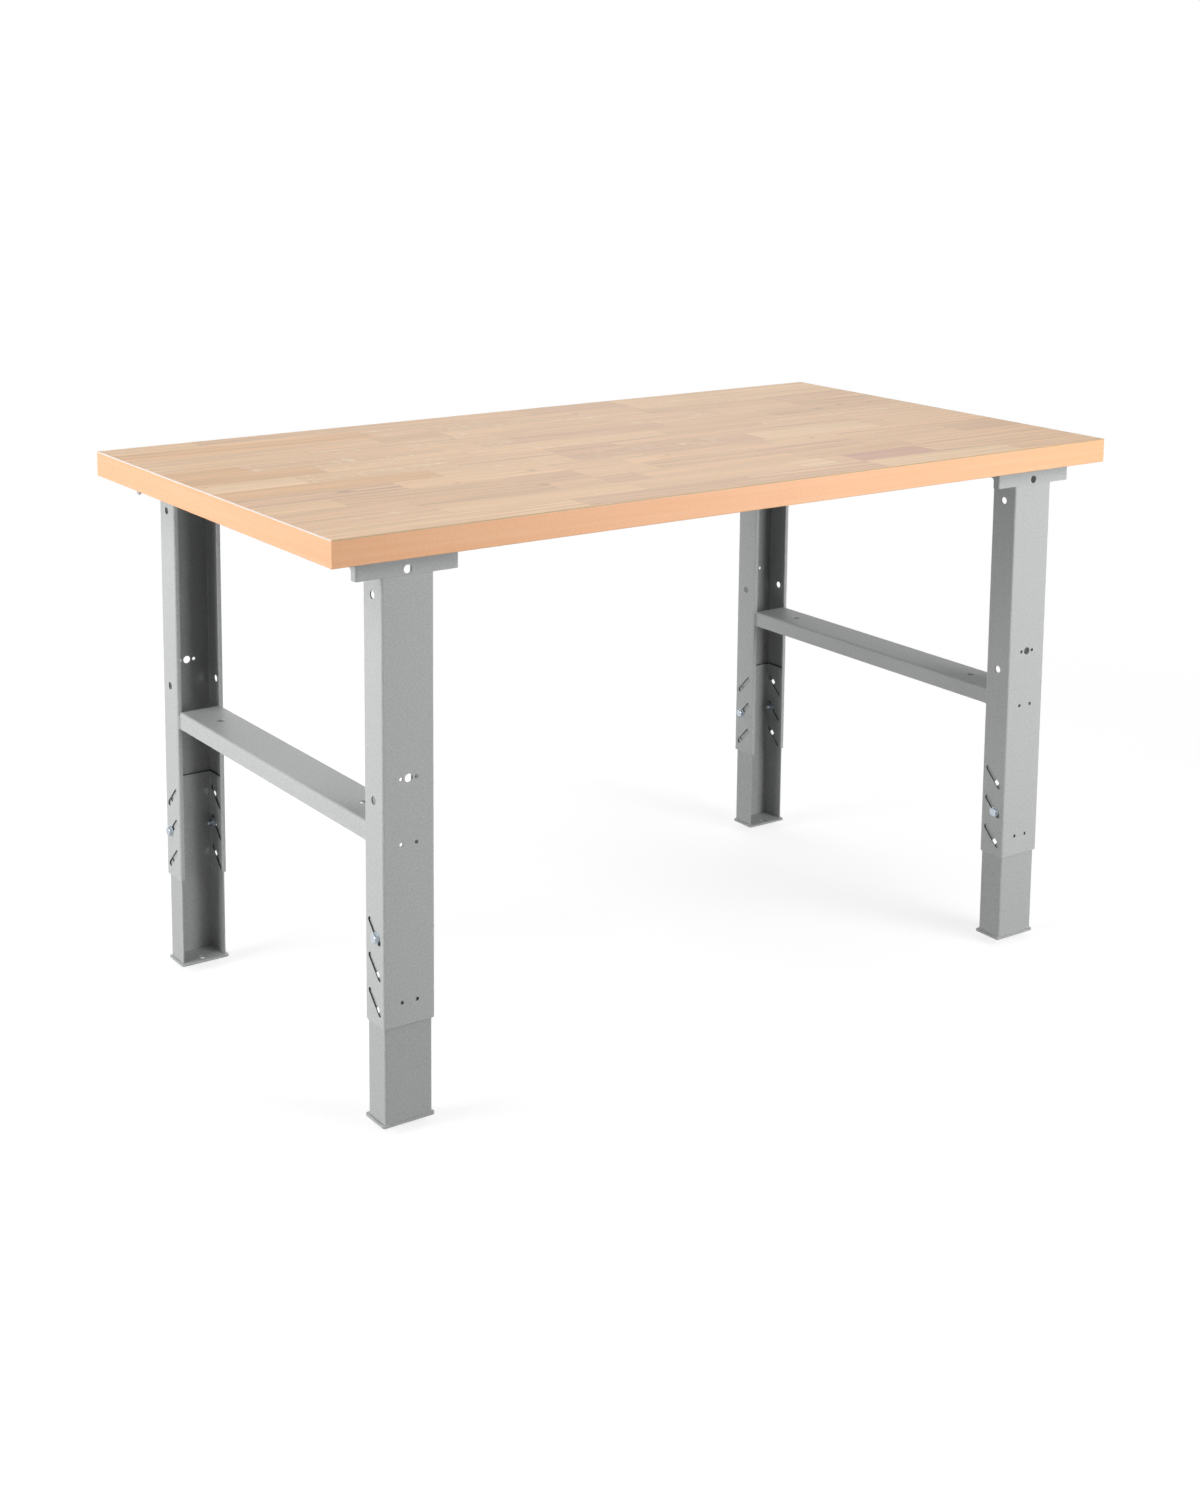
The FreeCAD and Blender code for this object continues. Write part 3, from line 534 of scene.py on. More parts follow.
# painted light on the bands' arrises: a highlight on the left, shade at the front, a bluish-grey reflection at
# the right and rear
arris_highlight_paint = make_arris_light_line("arris_painted_highlight", "E6EAEC")
arris_shade_paint = make_arris_light_line("arris_painted_shade", "B9A27C")
arris_reflection_paint = make_arris_light_line("arris_painted_reflection", "7C8E9A")
core_chips = make_core()
backing_paper = make_backing()


def dress(piece, material, body, slot, *nodes):
    """Gives a piece its finish, ties it to its body and hides the parts of model.glb that it stands for."""
    piece.data.materials.clear()
    piece.data.materials.append(material)
    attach(piece, body)
    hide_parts(*nodes)


# The board's face

# One row of staves after another from the rear edge, each stave with its length in millimetres, its tone and
# its figure.
STAVE_ROWS = (
    ((165, "light", "plain"), (400, "middle", "streaked"), (247, "soft", "plain"), (206, "grey", "plain"),
     (172, "light", "plain"), (310, "light", "streaked")),
    ((450, "brown", "streaked"), (115, "middle", "rayed"), (320, "middle", "rayed"), (133, "middle", "plain"),
     (224, "light", "rayed"), (258, "light", "plain")),
    ((435, "soft", "streaked"), (130, "deep", "plain"), (120, "light", "rayed"), (315, "soft", "rayed"),
     (300, "deep", "streaked"), (200, "grey", "streaked")),
    ((280, "light", "streaked"), (277, "middle", "rayed"), (73, "soft", "rayed"), (260, "middle", "plain"),
     (220, "middle", "rayed"), (190, "soft", "plain"), (200, "deep", "streaked")),
    ((130, "brown", "plain"), (348, "middle", "rayed"), (79, "light", "plain"), (78, "middle", "rayed"),
     (310, "grey", "streaked"), (240, "soft", "plain"), (315, "deep", "streaked")),
    ((230, "brown", "streaked"), (270, "light", "rayed"), (392, "light", "rayed"), (208, "deep", "plain"),
     (400, "middle", "rayed")),
    ((165, "pale", "plain"), (265, "light", "rayed"), (195, "middle", "plain"), (130, "grey", "streaked"),
     (525, "middle", "streaked"), (220, "soft", "plain")),
    ((365, "brown", "plain"), (253, "light", "rayed"), (312, "grey", "rayed"), (75, "grey", "plain"),
     (260, "pale", "plain"), (45, "middle", "plain"), (190, "light", "plain")),
    ((268, "grey", "streaked"), (287, "light", "plain"), (122, "middle", "plain"), (63, "light", "plain"),
     (250, "middle", "streaked"), (150, "light", "plain"), (360, "middle", "streaked")),
    ((130, "light", "plain"), (300, "deep", "streaked"), (125, "grey", "plain"), (135, "light", "plain"),
     (230, "deep", "plain"), (200, "grey", "streaked"), (235, "soft", "plain"), (145, "grey", "plain")),
    ((215, "middle", "plain"), (245, "deep", "streaked"), (95, "middle", "plain"), (75, "grey", "plain"),
     (315, "soft", "plain"), (240, "deep", "plain"), (315, "middle", "streaked")),
    ((228, "middle", "rayed"), (342, "light", "plain"), (320, "light", "plain"), (70, "pale", "rayed"),
     (45, "middle", "plain"), (167, "red", "plain"), (328, "middle", "streaked")),
    ((427, "light", "streaked"), (328, "grey", "plain"), (250, "grey", "streaked"), (305, "pale", "plain"),
     (190, "soft", "streaked")),
)
STAVE_TONES = {"pale": "EFCFAC", "light": "EAC7A3", "soft": "E8C4A1", "middle": "E5C19F", "deep": "E1BD9B",
               "brown": "E2BA92", "grey": "DEBA9B", "red": "D4AC96"}
# how strong the streaks and the ray flecks of a stave are
STAVE_FIGURES = {"plain": (0.95, 0.0), "streaked": (1.5, 0.0), "rayed": (0.95, 1.0)}
ROW_WIDTH = 61.5
# the glue joint at a stave's end
SEAM = 0.5
SEAM_TONE = "BC9676"


def make_staves():
    """The thin face layer, cut into its rows and staves so that each has its own piece of wood."""
    half_length = HALF_LENGTH - BAND
    half_width = HALF_WIDTH - BAND
    piece = block("top_staves", (-half_length, -half_width, BOARD_TOP - FACE_THICKNESS),
                  (half_length, half_width, BOARD_TOP))
    for number in range(1, len(STAVE_ROWS)):
        slice_faces(piece, everything, (0, HALF_WIDTH - number * ROW_WIDTH, 0), (0, 1, 0))
    for number, row in enumerate(STAVE_ROWS):
        high = HALF_WIDTH - number * ROW_WIDTH
        low = high - ROW_WIDTH
        end = -HALF_LENGTH
        for length, tone, figure in row[:-1]:
            end += length
            for cut in (end - SEAM / 2, end + SEAM / 2):
                slice_faces(piece, lambda middle, normal: low < middle.y < high and abs(normal.y) < 0.5
                            and abs(normal.x) < 0.5, (cut, 0, 0), (1, 0, 0))
    # each stave's place in the wood, and the slope of its grain
    dice = random.Random(11)
    drawn = {(number, stave): (dice.uniform(0, 40), dice.uniform(-0.035, 0.035))
             for number, row in enumerate(STAVE_ROWS) for stave in range(len(row))}
    attributes = piece.data.attributes
    attributes.new("stave_colour", "FLOAT_COLOR", "FACE")
    figures = ("stave_seed", "stave_slant", "stave_streak", "stave_ray")
    for name in figures:
        attributes.new(name, "FLOAT", "FACE")
    for face in piece.data.polygons:
        number = min(int((HALF_WIDTH - face.center.y / MM) / ROW_WIDTH), len(STAVE_ROWS) - 1)
        end = -HALF_LENGTH
        for stave, (length, tone, figure) in enumerate(STAVE_ROWS[number]):
            end += length
            if face.center.x / MM < end + SEAM / 2:
                break
        seam = abs(face.center.x / MM - end) < SEAM / 2
        attributes["stave_colour"].data[face.index].color = linear(SEAM_TONE if seam else STAVE_TONES[tone])
        for name, setting in zip(figures, drawn[(number, stave)] + STAVE_FIGURES[figure]):
            attributes[name].data[face.index].value = setting
    select_only(piece)
    bpy.ops.object.shade_flat()
    return piece


dress(make_staves(), stave_beech, "bench", "board_face", "tabletop_face")


# The edge bands

def make_band(name, low, high, outer_edge):
    piece = block(name, low, high)
    bevel_edges(piece, outer_edge, ARRIS, 5)
    soften(piece, size=0)
    return piece


def dress_arris_light_line(piece, material, flat_too=False):
    """Gives the rounded upper edge of a band its line of painted light, and its narrow flat top too where that
    is wished.
    """
    piece.data.materials.append(material)
    for face in piece.data.polygons:
        rounded = 0.05 < face.normal.z < 0.95
        flat = face.normal.z >= 0.95
        if rounded or flat_too and flat:
            face.material_index = 1


for name, end in (("front", -1), ("rear", 1)):
    inner, outer = end * (HALF_WIDTH - BAND), end * HALF_WIDTH
    band = make_band("banding_" + name, (-HALF_LENGTH, min(inner, outer), BOARD_BOTTOM),
                     (HALF_LENGTH, max(inner, outer), BOARD_TOP),
                     lambda a, b: abs(a.y - outer) < 0.1 and abs(b.y - outer) < 0.1)
    dress(band, band_beech_long, "bench", "edge_band", "edge_band_" + name)
    dress_arris_light_line(band, arris_shade_paint if end < 0 else arris_reflection_paint, flat_too=end > 0)
for name, side in (("left", -1), ("right", 1)):
    inner, outer = side * (HALF_LENGTH - BAND), side * HALF_LENGTH
    band = make_band("banding_" + name, (min(inner, outer), BAND - HALF_WIDTH, BOARD_BOTTOM),
                     (max(inner, outer), HALF_WIDTH - BAND, BOARD_TOP),
                     lambda a, b: abs(a.x - outer) < 0.1 and abs(b.x - outer) < 0.1 and abs(a.y - b.y) > 1)
    dress(band, band_beech_short, "bench", "edge_band", "edge_band_" + name)
    dress_arris_light_line(band, arris_highlight_paint if side < 0 else arris_reflection_paint, flat_too=side > 0)


# The steel pieces, in the leg's own axes: x across the leg, y from its outer face towards mid-bench

def slot_tool(height, run, depth):
    """A slanted slot through both flanges, leaning towards +y where the run is positive."""
    low = Vector((0, depth / 2 - run / 2, height - SLOT_RISE / 2))
    tool = bar("slot_tool", SLOT_WIDTH / 2, THROUGH_LEG, low, "X", sides=SLOT_SIDES)
    lean = Vector((0, run, SLOT_RISE))
    open_edit(tool, "VERT", lambda place: (place - low).dot(lean) > 0)
    bpy.ops.transform.translate(value=lean * MM)
    close_edit()
    return tool


def make_outer_leg():
    half = LEG_WIDTH / 2
    piece = block("outer_leg_shape", (-half, 0, 0), (half, LEG_DEPTH, OUTER_LENGTH))
    delete_faces(piece, lambda middle, normal: abs(normal.z) > 0.5)
    for edge in (-half + LIP, half - LIP):
        slice_faces(piece, lambda middle, normal: normal.y > 0.5, (edge, 0, 0), (1, 0, 0))
    delete_faces(piece, lambda middle, normal: normal.y > 0.5 and abs(middle.x) < half - LIP)
    bevel_edges(piece, lambda a, b: abs(a.z - b.z) > 1 and abs(a.x) > half - 0.1, BEND, BEND_FACETS)
    folded_sheet(piece)
    # the web ends below the flanges, which run on behind the bracket
    tools = [block("notch", (-60, -5, NOTCH_HEIGHT), (60, WALL, OUTER_LENGTH + 10))]
    for height in SMALL_HOLE_HEIGHTS:
        for x in (-SMALL_HOLE_REACH, SMALL_HOLE_REACH):
            tools.append(bar("small_hole", SMALL_HOLE, THROUGH_WALL, (x, 0, height), "Y"))
    tools.append(bar("web_hole", LARGE_HOLE, THROUGH_WALL, (0, 0, LARGE_HOLE_HEIGHT), "Y"))
    for height in SIDE_HOLE_HEIGHTS:
        tools.append(bar("flange_hole", SIDE_HOLE, THROUGH_LEG, (0, LEG_DEPTH / 2, height), "X"))
    for number in range(SLOTS):
        tools.append(slot_tool(OUTER_SLOT_HEIGHT + number * SLOT_PITCH, SLOT_RUN, LEG_DEPTH))
    combine(piece, tools)
    soften(piece)
    paint_channel_shade(piece, LEG_WIDTH, LEG_DEPTH, NOTCH_HEIGHT, OUTER_SHADE_SHARE)
    return piece


def make_inner_leg():
    half = INNER_WIDTH / 2
    piece = block("inner_leg_shape", (-half, 0, 0), (half, INNER_DEPTH, INNER_LENGTH))
    delete_faces(piece, lambda middle, normal: abs(normal.z) > 0.5 or normal.y > 0.5)
    bevel_edges(piece, lambda a, b: abs(a.z - b.z) > 1 and a.y < 0.1, BEND, BEND_FACETS)
    slice_faces(piece, everything, (0, 0, INNER_LENGTH - SHADED_END), (0, 0, 1))
    folded_sheet(piece)
    combine(piece, [slot_tool(INNER_SLOT_HEIGHT + number * SLOT_PITCH, -SLOT_RUN, INNER_DEPTH)
                    for number in range(SLOTS)])
    soften(piece)
    # with no lips, its open side lies one wall further on for this
    paint_channel_shade(piece, INNER_WIDTH, INNER_DEPTH + WALL, INNER_LENGTH, INNER_SHADE_SHARE, SHADED_END)
    return piece


def make_bracket():
    half = BRACKET_WIDTH / 2
    piece = block("bracket_shape", (-half, 0, 0), (half, LEG_DEPTH, BRACKET_HEIGHT))
    delete_faces(piece, lambda middle, normal: normal.z < -0.5 or normal.y > 0.5)
    bevel_edges(piece, lambda a, b: abs(a.z - b.z) > 1 and a.y < 0.1, BEND, BEND_FACETS)
    folded_sheet(piece)
    returns = block("returns", (-half - 5, RETURN_DEPTH, -5), (half + 5, 60, BRACKET_HEIGHT - WALL))
    open_edit(returns, "FACE", everything)
    bpy.ops.mesh.bisect(plane_co=(0, RETURN_DEPTH * MM, RETURN_SLANT_HEIGHT * MM), plane_no=(0, -1, 1),
                        use_fill=True, clear_outer=True)
    close_edit()
    tools = [returns, bar("bracket_hole", LARGE_HOLE, THROUGH_WALL, (0, 0, BRACKET_HOLE_HEIGHT), "Y")]
    for x, y in SCREW_SPOTS:
        tools.append(bar("screw_hole", SMALL_HOLE, THROUGH_WALL, (x, y, BRACKET_HEIGHT), "Z"))
    combine(piece, tools)
    soften(piece)
    return piece


def make_foot_plate():
    piece = block("foot_shape", (-FOOT_HALF_WIDTH, 0, 0), (FOOT_HALF_WIDTH, FOOT_DEPTH, FOOT_THICKNESS))
    bevel_edges(piece, lambda a, b: abs(a.z - b.z) > 1, FOOT_CORNER, BEND_FACETS)
    combine(piece, [bar("anchor_hole", SIDE_HOLE, THROUGH_WALL, (0, ANCHOR_HOLE_Y, FOOT_THICKNESS / 2), "Z")])
    soften(piece)
    return piece


def make_crossbar():
    half = BAR_WIDTH / 2
    piece = block("crossbar_shape", (-half, -BAR_HALF_LENGTH, 0), (half, BAR_HALF_LENGTH, BAR_HEIGHT))
    delete_faces(piece, lambda middle, normal: normal.z < -0.5 or abs(normal.y) > 0.5)
    bevel_edges(piece, lambda a, b: abs(a.y - b.y) > 1 and a.z > 1, BAR_BEND, BEND_FACETS)
    folded_sheet(piece)
    combine(piece, [bar("bar_hole", LARGE_HOLE, THROUGH_WALL, (0, y, BAR_HEIGHT), "Z")
                    for y in (-BAR_HOLE_REACH, BAR_HOLE_REACH)])
    soften(piece)
    return piece


def leg_place(corner, x=0, y=0, z=0):
    """A place in a leg's own axes as one on the bench."""
    side, end = CORNERS[corner]
    return (side * LEG_X - end * x, end * (LEG_FACE_Y - y), z)


outer_leg = make_outer_leg()
inner_leg = make_inner_leg()
bracket = make_bracket()
foot_plate = make_foot_plate()
crossbar = make_crossbar()
for corner, (side, end) in CORNERS.items():
    angle = 180 if end > 0 else 0
    slider_place = leg_place(corner, y=INNER_SETBACK, z=FOOT_THICKNESS)
    piece = copy_to(outer_leg, "post_" + corner, leg_place(corner, z=OUTER_BOTTOM), angle)
    dress(piece, paint, "bench", "grey_paint", "outer_leg_" + corner)
    piece = copy_to(bracket, "bracket_" + corner, leg_place(corner, z=BRACKET_BOTTOM), angle)
    dress(piece, paint, "bench", "grey_paint", "top_bracket_" + corner)
    piece = copy_to(inner_leg, "slider_" + corner, slider_place, angle)
    dress(piece, slider_paint, "leg_" + corner, "grey_paint", "inner_leg_" + corner)
    piece = copy_to(foot_plate, "foot_" + corner, leg_place(corner, y=FOOT_SETBACK), angle)
    dress(piece, slider_paint, "leg_" + corner, "grey_paint", "foot_plate_" + corner)
for name, side in (("left", -1), ("right", 1)):
    piece = copy_to(crossbar, "cross_channel_" + name, (side * LEG_X, 0, BAR_BOTTOM))
    dress(piece, paint, "bench", "grey_paint", "crossbar_" + name)
for shape in (outer_leg, inner_leg, bracket, foot_plate, crossbar):
    remove(shape)

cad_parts["tabletop_core"].material_slots[0].material = core_chips
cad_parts["tabletop_backing"].material_slots[0].material = backing_paper


# The fasteners, each standing on its seat with its axis upright

HEX_WIDTH = 13
HEAD_HEIGHT = 5.3
HEAD_RIM = 1.6
HEAD_DISH = 0.3
NUT_HEIGHT = 6.5
COUNTERSINK = 0.65
BOLT_RADIUS = 4
BOLT_LENGTH = 20
BOLT_CHAMFER = 0.7
THREAD_PITCH = 1.25
THREAD_DEPTH = 0.77
THREAD_TURNS = 13
WASHER_RADIUS = 8
WASHER_THICKNESS = 1.6
# the gaps of nut and washer round the bolt
NUT_GAP = 0.05
WASHER_GAP = 0.2
# the fasteners slide on the paint's film and not in the steel
PAINT_FILM = 0.06
# the corners of a hexagon are turned off by a flat cone that ends just inside its flats
CONE_TOP = 0.48 * HEX_WIDTH
CONE_SLOPE = math.tan(math.radians(60))


def make_hexagon(name, height, ends):
    """A hexagon with its corners turned off at its top, and at its foot too for a nut."""
    piece = bar(name, HEX_WIDTH / math.sqrt(3), height, (0, 0, height / 2), sides=6, spin=math.pi / 6)
    wide = CONE_TOP + CONE_SLOPE * height
    for end in ends:
        low, high = (wide, CONE_TOP) if end > 0 else (CONE_TOP, wide)
        cone = bar("turning", low, height, (0, 0, height / 2), sides=72, top_radius=high)
        combine(piece, [cone], "INTERSECT")
    return piece


def make_bolt():
    head = make_hexagon("bolt_shape", HEAD_HEIGHT, (1,))
    # the forging leaves a shallow dish in the head's top
    open_edit(head, "FACE", lambda middle, normal: normal.z > 0.9 and middle.z > HEAD_HEIGHT - 0.1)
    bpy.ops.mesh.inset(thickness=HEAD_RIM * MM)
    bpy.ops.transform.translate(value=(0, 0, -HEAD_DISH * MM))
    close_edit()
    soften(head, size=0.15)
    core_radius = BOLT_RADIUS - THREAD_DEPTH
    shank = bar("shank", core_radius, BOLT_LENGTH, (0, 0, -BOLT_LENGTH / 2), sides=32)
    bevel_edges(shank, lambda a, b: max(a.z, b.z) < 0.1 - BOLT_LENGTH, BOLT_CHAMFER, 2)
    soften(shank, size=0)
    # the thread is a flat-topped tooth, rooted a little inside the shank and swept upwards round it
    bpy.ops.object.select_all(action="DESELECT")
    start = 1.1 - BOLT_LENGTH
    middle = (core_radius + BOLT_RADIUS - 0.1) / 2
    bpy.ops.mesh.primitive_plane_add(size=1, location=(middle * MM, 0, start * MM),
                                     rotation=(math.pi / 2, 0, 0))
    bpy.context.object.scale = ((THREAD_DEPTH + 0.1) * MM, 0.88 * THREAD_PITCH * MM, 1)
    thread = settle("thread")
    open_edit(thread, "VERT", lambda place: place.x > middle)
    bpy.ops.transform.resize(value=(1, 1, 0.2), center_override=(0, 0, start * MM))
    bpy.ops.mesh.select_all(action="SELECT")
    bpy.ops.mesh.delete(type="ONLY_FACE")
    close_edit()
    finish_with(thread, "SCREW", axis="Z", angle=math.tau, screw_offset=THREAD_PITCH * MM,
                iterations=THREAD_TURNS, steps=24, render_steps=24)
    open_edit(thread, "VERT", everything)
    bpy.ops.mesh.fill_holes(sides=4)
    bpy.ops.mesh.normals_make_consistent(inside=False)
    close_edit()
    soften(thread, size=0, angle=30)
    return join([head, shank, thread])


def make_nut():
    piece = make_hexagon("nut_shape", NUT_HEIGHT, (1, -1))
    combine(piece, [bar("bore", BOLT_RADIUS + NUT_GAP, NUT_HEIGHT + 4, (0, 0, NUT_HEIGHT / 2), sides=32)])
    wide = BOLT_RADIUS + COUNTERSINK
    for low, high, height in ((wide, BOLT_RADIUS, 0.3), (BOLT_RADIUS, wide, NUT_HEIGHT - 0.3)):
        combine(piece, [bar("countersink", low, COUNTERSINK, (0, 0, height), sides=32, top_radius=high)])
    soften(piece, size=0.12)
    return piece


def make_washer():
    piece = bar("washer_shape", WASHER_RADIUS, WASHER_THICKNESS, (0, 0, -WASHER_THICKNESS / 2), sides=48)
    combine(piece, [bar("washer_bore", BOLT_RADIUS + WASHER_GAP, 5, (0, 0, 0), sides=32)])
    soften(piece, size=0.2)
    return piece


def make_screw():
    """A pan-head wood screw, its head down and its tip up."""
    head = bar("screw_shape", 5, 1, (0, 0, -0.5), sides=32)
    # the head's dome in three steps, each with its height and how far it draws in
    for drop, share in ((0.9, 0.88), (0.7, 0.76), (0.4, 0.6)):
        open_edit(head, "FACE", lambda middle, normal: normal.z < -0.9)
        bpy.ops.mesh.extrude_region_move(TRANSFORM_OT_translate={"value": (0, 0, -drop * MM)})
        bpy.ops.transform.resize(value=(share, share, 1), center_override=(0, 0, 0))
        close_edit()
    combine(head, [block("cross_recess", (-2.5, -0.5, -4), (2.5, 0.5, -1.5)),
                   block("cross_recess", (-0.5, -2.5, -4), (0.5, 2.5, -1.5))])
    soften(head, size=0.12, angle=40)
    shank = bar("screw_shank", 2.5, 25, (0, 0, 12.4), sides=20)
    tip = bar("screw_tip", 2.5, 5.1, (0, 0, 27.4), sides=20, top_radius=0.3)
    soften(shank, size=0)
    soften(tip, size=0)
    return join([head, shank, tip])


def make_weld_bead():
    """A quarter-round bead, laid upwards in short ripples with a rounded top end."""
    height, radius, step = 23, 2.5, 1.15
    piece = bar("bead_shape", radius, height, (0, 0, height / 2), sides=32)
    rings = int(height / step)
    for number in range(1, rings):
        slice_faces(piece, everything, (0, 0, number * step), (0, 0, 1))
    # every other ring is drawn in, and the last two close the bead's end
    dice = random.Random(5)
    for number in range(rings + 1):
        ring = number * step if number < rings else height
        share = (1.0 if number % 2 else 0.86) * dice.uniform(0.95, 1.0)
        if number >= rings - 1:
            share = 0.8 if number < rings else 0.45
        open_edit(piece, "VERT", lambda place: abs(place.z - ring) < 0.05)
        bpy.ops.transform.resize(value=(share, share, 1), center_override=(0, 0, 0))
        close_edit()
    for normal in ((1, 0, 0), (0, 1, 0)):
        open_edit(piece, "FACE", everything)
        bpy.ops.mesh.bisect(plane_co=(0, 0, 0), plane_no=normal, use_fill=True, clear_inner=True)
        close_edit()
    soften(piece, size=0, angle=60)
    return piece


bolt = make_bolt()
nut = make_nut()
washer = make_washer()
screw = make_screw()
bead = make_weld_bead()
# how far from a leg's middle the seats lie: bolt heads on their washers outside, nuts inside
OUTER_SEAT = LEG_WIDTH / 2 + PAINT_FILM + WASHER_THICKNESS
NUT_SEAT = INNER_WIDTH / 2 - WALL - PAINT_FILM - NUT_HEIGHT
for corner, (side, end) in CORNERS.items():
    y = end * (LEG_FACE_Y - CLAMP_SETBACK)
    for name, shape, seat in (("bolts", bolt, OUTER_SEAT), ("washers", washer, OUTER_SEAT),
                              ("nuts", nut, NUT_SEAT)):
        pair = [copy_to(shape, "%s_%s" % (name, corner), (side * LEG_X + face * seat, y, CLAMP_HEIGHTS[corner]),
                        face * 90, "Y") for face in (-1, 1)]
        dress(join(pair), zinc, "clamp_" + corner, "zinc_steel", "clamp_%s_%s" % (name, corner))
    screws = [copy_to(screw, "screws_" + corner, leg_place(corner, x, y, BOARD_BOTTOM - WALL))
              for x, y in SCREW_SPOTS]
    dress(join(screws), zinc, "bench", "zinc_steel", "bracket_screws_" + corner)
for name, side in (("left", -1), ("right", 1)):
    beads = []
    for face, end, angle in ((1, 1, 270), (1, -1, 0), (-1, -1, 90), (-1, 1, 180)):
        place = (side * LEG_X + face * BAR_WIDTH / 2, end * BAR_HALF_LENGTH, BAR_BOTTOM)
        beads.append(copy_to(bead, "beads_" + name, place, angle))
    dress(join(beads), bead_paint, "bench", "grey_paint", "crossbar_welds_" + name)
for shape in (bolt, nut, washer, screw, bead):
    remove(shape)


# The camera, as solved from the photographed corners of the board and the legs: focal length and the axis'
# place in the picture's pixels, the rest in metres and degrees

FOCAL_PIXELS = 2172.48
SENSOR = 36
AXIS_X = 572.76
AXIS_Y = 400
CAMERA_PLACE = (-2.09481, -2.90589, 1.50215)
AZIMUTH = math.radians(-34.674)
ELEVATION = math.radians(8.7283)
ROLL = math.radians(0.4227)
camera_data = bpy.data.cameras.new("camera")
camera = bpy.data.objects.new("camera", camera_data)
bpy.context.scene.collection.objects.link(camera)
bpy.context.scene.camera = camera
camera_data.sensor_width = SENSOR
camera_data.lens = FOCAL_PIXELS * SENSOR / PICTURE_HEIGHT
camera_data.shift_x = (PICTURE_WIDTH / 2 - AXIS_X) / PICTURE_HEIGHT
camera_data.shift_y = (AXIS_Y - PICTURE_HEIGHT / 2) / PICTURE_HEIGHT
camera_data.clip_start = 0.05
camera_data.clip_end = 60
back = Vector((math.sin(AZIMUTH) * math.cos(ELEVATION), -math.cos(AZIMUTH) * math.cos(ELEVATION),
               math.sin(ELEVATION)))
level = Vector((0, 0, 1)).cross(back).normalized()
upright = back.cross(level)
right = math.cos(ROLL) * level + math.sin(ROLL) * upright
up = math.cos(ROLL) * upright - math.sin(ROLL) * level
turn = Matrix((right, up, back)).transposed().to_4x4()
camera.matrix_world = Matrix.Translation(CAMERA_PLACE) @ turn


# The studio

def softbox(name, place, aim, width, height, power):
    """A white area lamp in metres and watts that the camera doesn't see."""
    data = bpy.data.lights.new(name, "AREA")
    data.shape = "RECTANGLE"
    data.size = width
    data.size_y = height
    data.energy = power
    lamp = bpy.data.objects.new(name, data)
    bpy.context.scene.collection.objects.link(lamp)
    lamp.location = place
    lamp.rotation_mode = "QUATERNION"
    lamp.rotation_quaternion = (Vector(aim) - Vector(place)).to_track_quat("-Z", "Y")
    lamp.visible_camera = False


def seen_rays(tree):
    """1 for the rays of the camera and of what it sees in metal and glass, 0 for the rays that light things."""
    rays = add(tree, "LightPath")
    seen = add(tree, "Math", {0: (rays, "Is Camera Ray"), 1: (rays, "Is Glossy Ray")}, operation="MAXIMUM")
    return add(tree, "Math", {0: seen, 1: (rays, "Is Transmission Ray")}, operation="MAXIMUM")


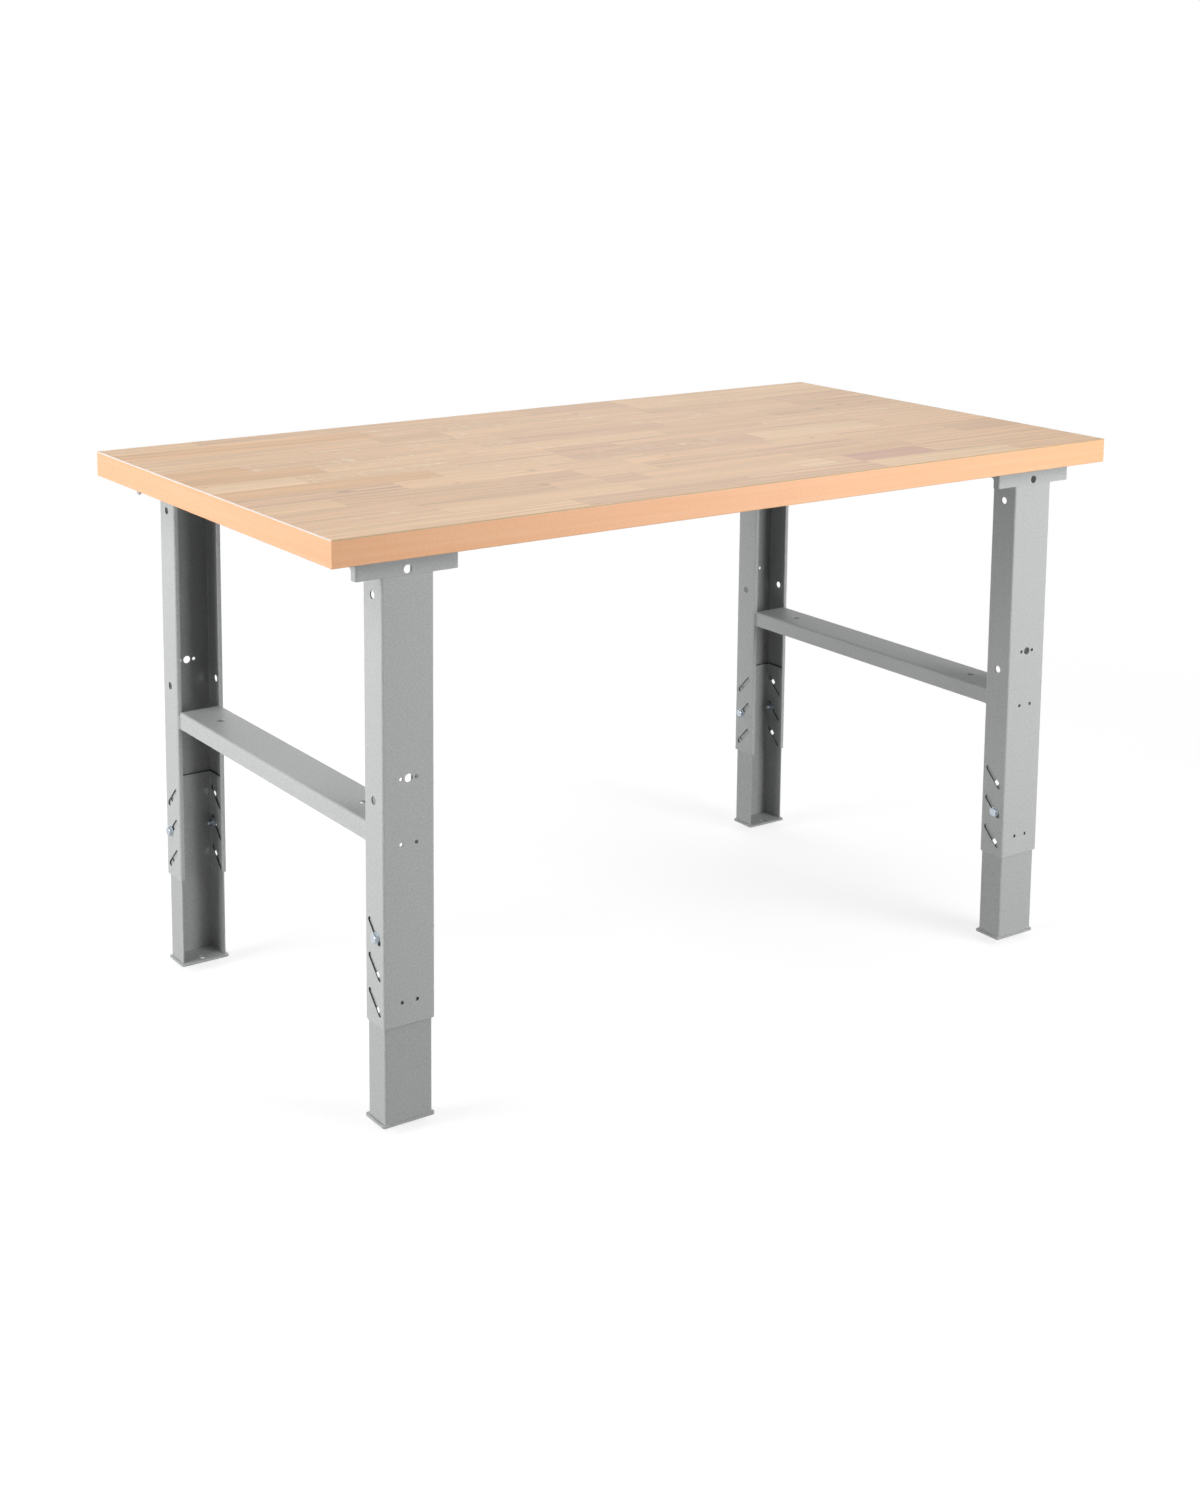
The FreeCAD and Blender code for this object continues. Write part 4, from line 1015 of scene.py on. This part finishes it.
softbox("softbox_left_low", (-3.5, 0.3, 1.1), (-0.6, 0.05, 0.5), 2.0, 1.6, 82)
softbox("softbox_left_high", (-2.7, 0.4, 2.6), (-0.6, 0.0, 0.45), 1.6, 1.2, 22)
softbox("softbox_front_right_high", (1.15, -3.0, 2.6), (0.45, -0.4, 0.4), 1.8, 1.4, 42)
softbox("softbox_front_right_low", (1.75, -2.9, 0.9), (0.45, -0.4, 0.5), 1.4, 1.4, 52)
softbox("softbox_above", (0.3, -0.1, 3.6), (0.1, 0, 0.877), 3.2, 2.4, 29.5)
softbox("softbox_rear_high", (2.4, 3.0, 2.4), (0.0, 0, 0.5), 2.0, 1.4, 17)
softbox("softbox_rear_low", (0.3, 3.4, 0.7), (0.0, 0, 0.45), 2.4, 0.9, 46)

world = bpy.data.worlds.new("studio")
bpy.context.scene.world = world
world.use_nodes = True
tree = world.node_tree
tree.nodes.clear()
fill = add(tree, "Background", {"Color": grey(1), "Strength": 0.05})
white = add(tree, "Background", {"Color": grey(1), "Strength": 1})
add(tree, "OutputWorld", {"Surface": add(tree, "MixShader", {0: seen_rays(tree), 1: fill, 2: white})})


def make_floor_finish():
    """Matt white studio paper. The camera sees it lifted to white, all but the object's soft shadow."""
    material, tree, place = new_material("studio_paper_white")
    tooth = add(tree, "TexNoise", {"Vector": place, "Scale": 900, "Detail": 2})
    bump = add(tree, "Bump", {"Height": tooth, "Strength": 0.05, "Distance": 0.1 * MM})
    paper = add(tree, "BsdfDiffuse", {"Color": grey(0.36), "Normal": bump})
    lift = add(tree, "Emission", {"Color": grey(1), "Strength": 0.76})
    lifted = add(tree, "AddShader", {0: paper, 1: lift})
    glow = add(tree, "Emission", {"Color": grey(1), "Strength": 1})
    # the paper turns to even white well away from the object
    far = add(tree, "VectorMath", {0: place}, operation="LENGTH")
    fade = add(tree, "MapRange", {"Value": (far, "Value"), "From Min": 1.3, "From Max": 2.6},
               interpolation_type="SMOOTHSTEP")
    shown = add(tree, "MixShader", {0: fade, 1: lifted, 2: glow})
    above = add(tree, "MixShader", {0: seen_rays(tree), 1: paper, 2: shown})
    # from below the paper is left out, so that the bench's underside can be seen
    below = add(tree, "BsdfTransparent")
    sides = add(tree, "NewGeometry")
    shader = add(tree, "MixShader", {0: (sides, "Backfacing"), 1: above, 2: below})
    add(tree, "OutputMaterial", {"Surface": shader})
    return material


# the floor lies just below the reach of a leg at its longest, so that its foot stays in sight
FLOOR_GAP = 0.2
bpy.ops.object.select_all(action="DESELECT")
bpy.ops.mesh.primitive_plane_add(size=60, location=(0, 0, -(LEG_REACH + FLOOR_GAP) * MM))
floor = settle("studio_floor")
floor.data.materials.append(make_floor_finish())

bpy.context.scene.view_settings.view_transform = "Standard"
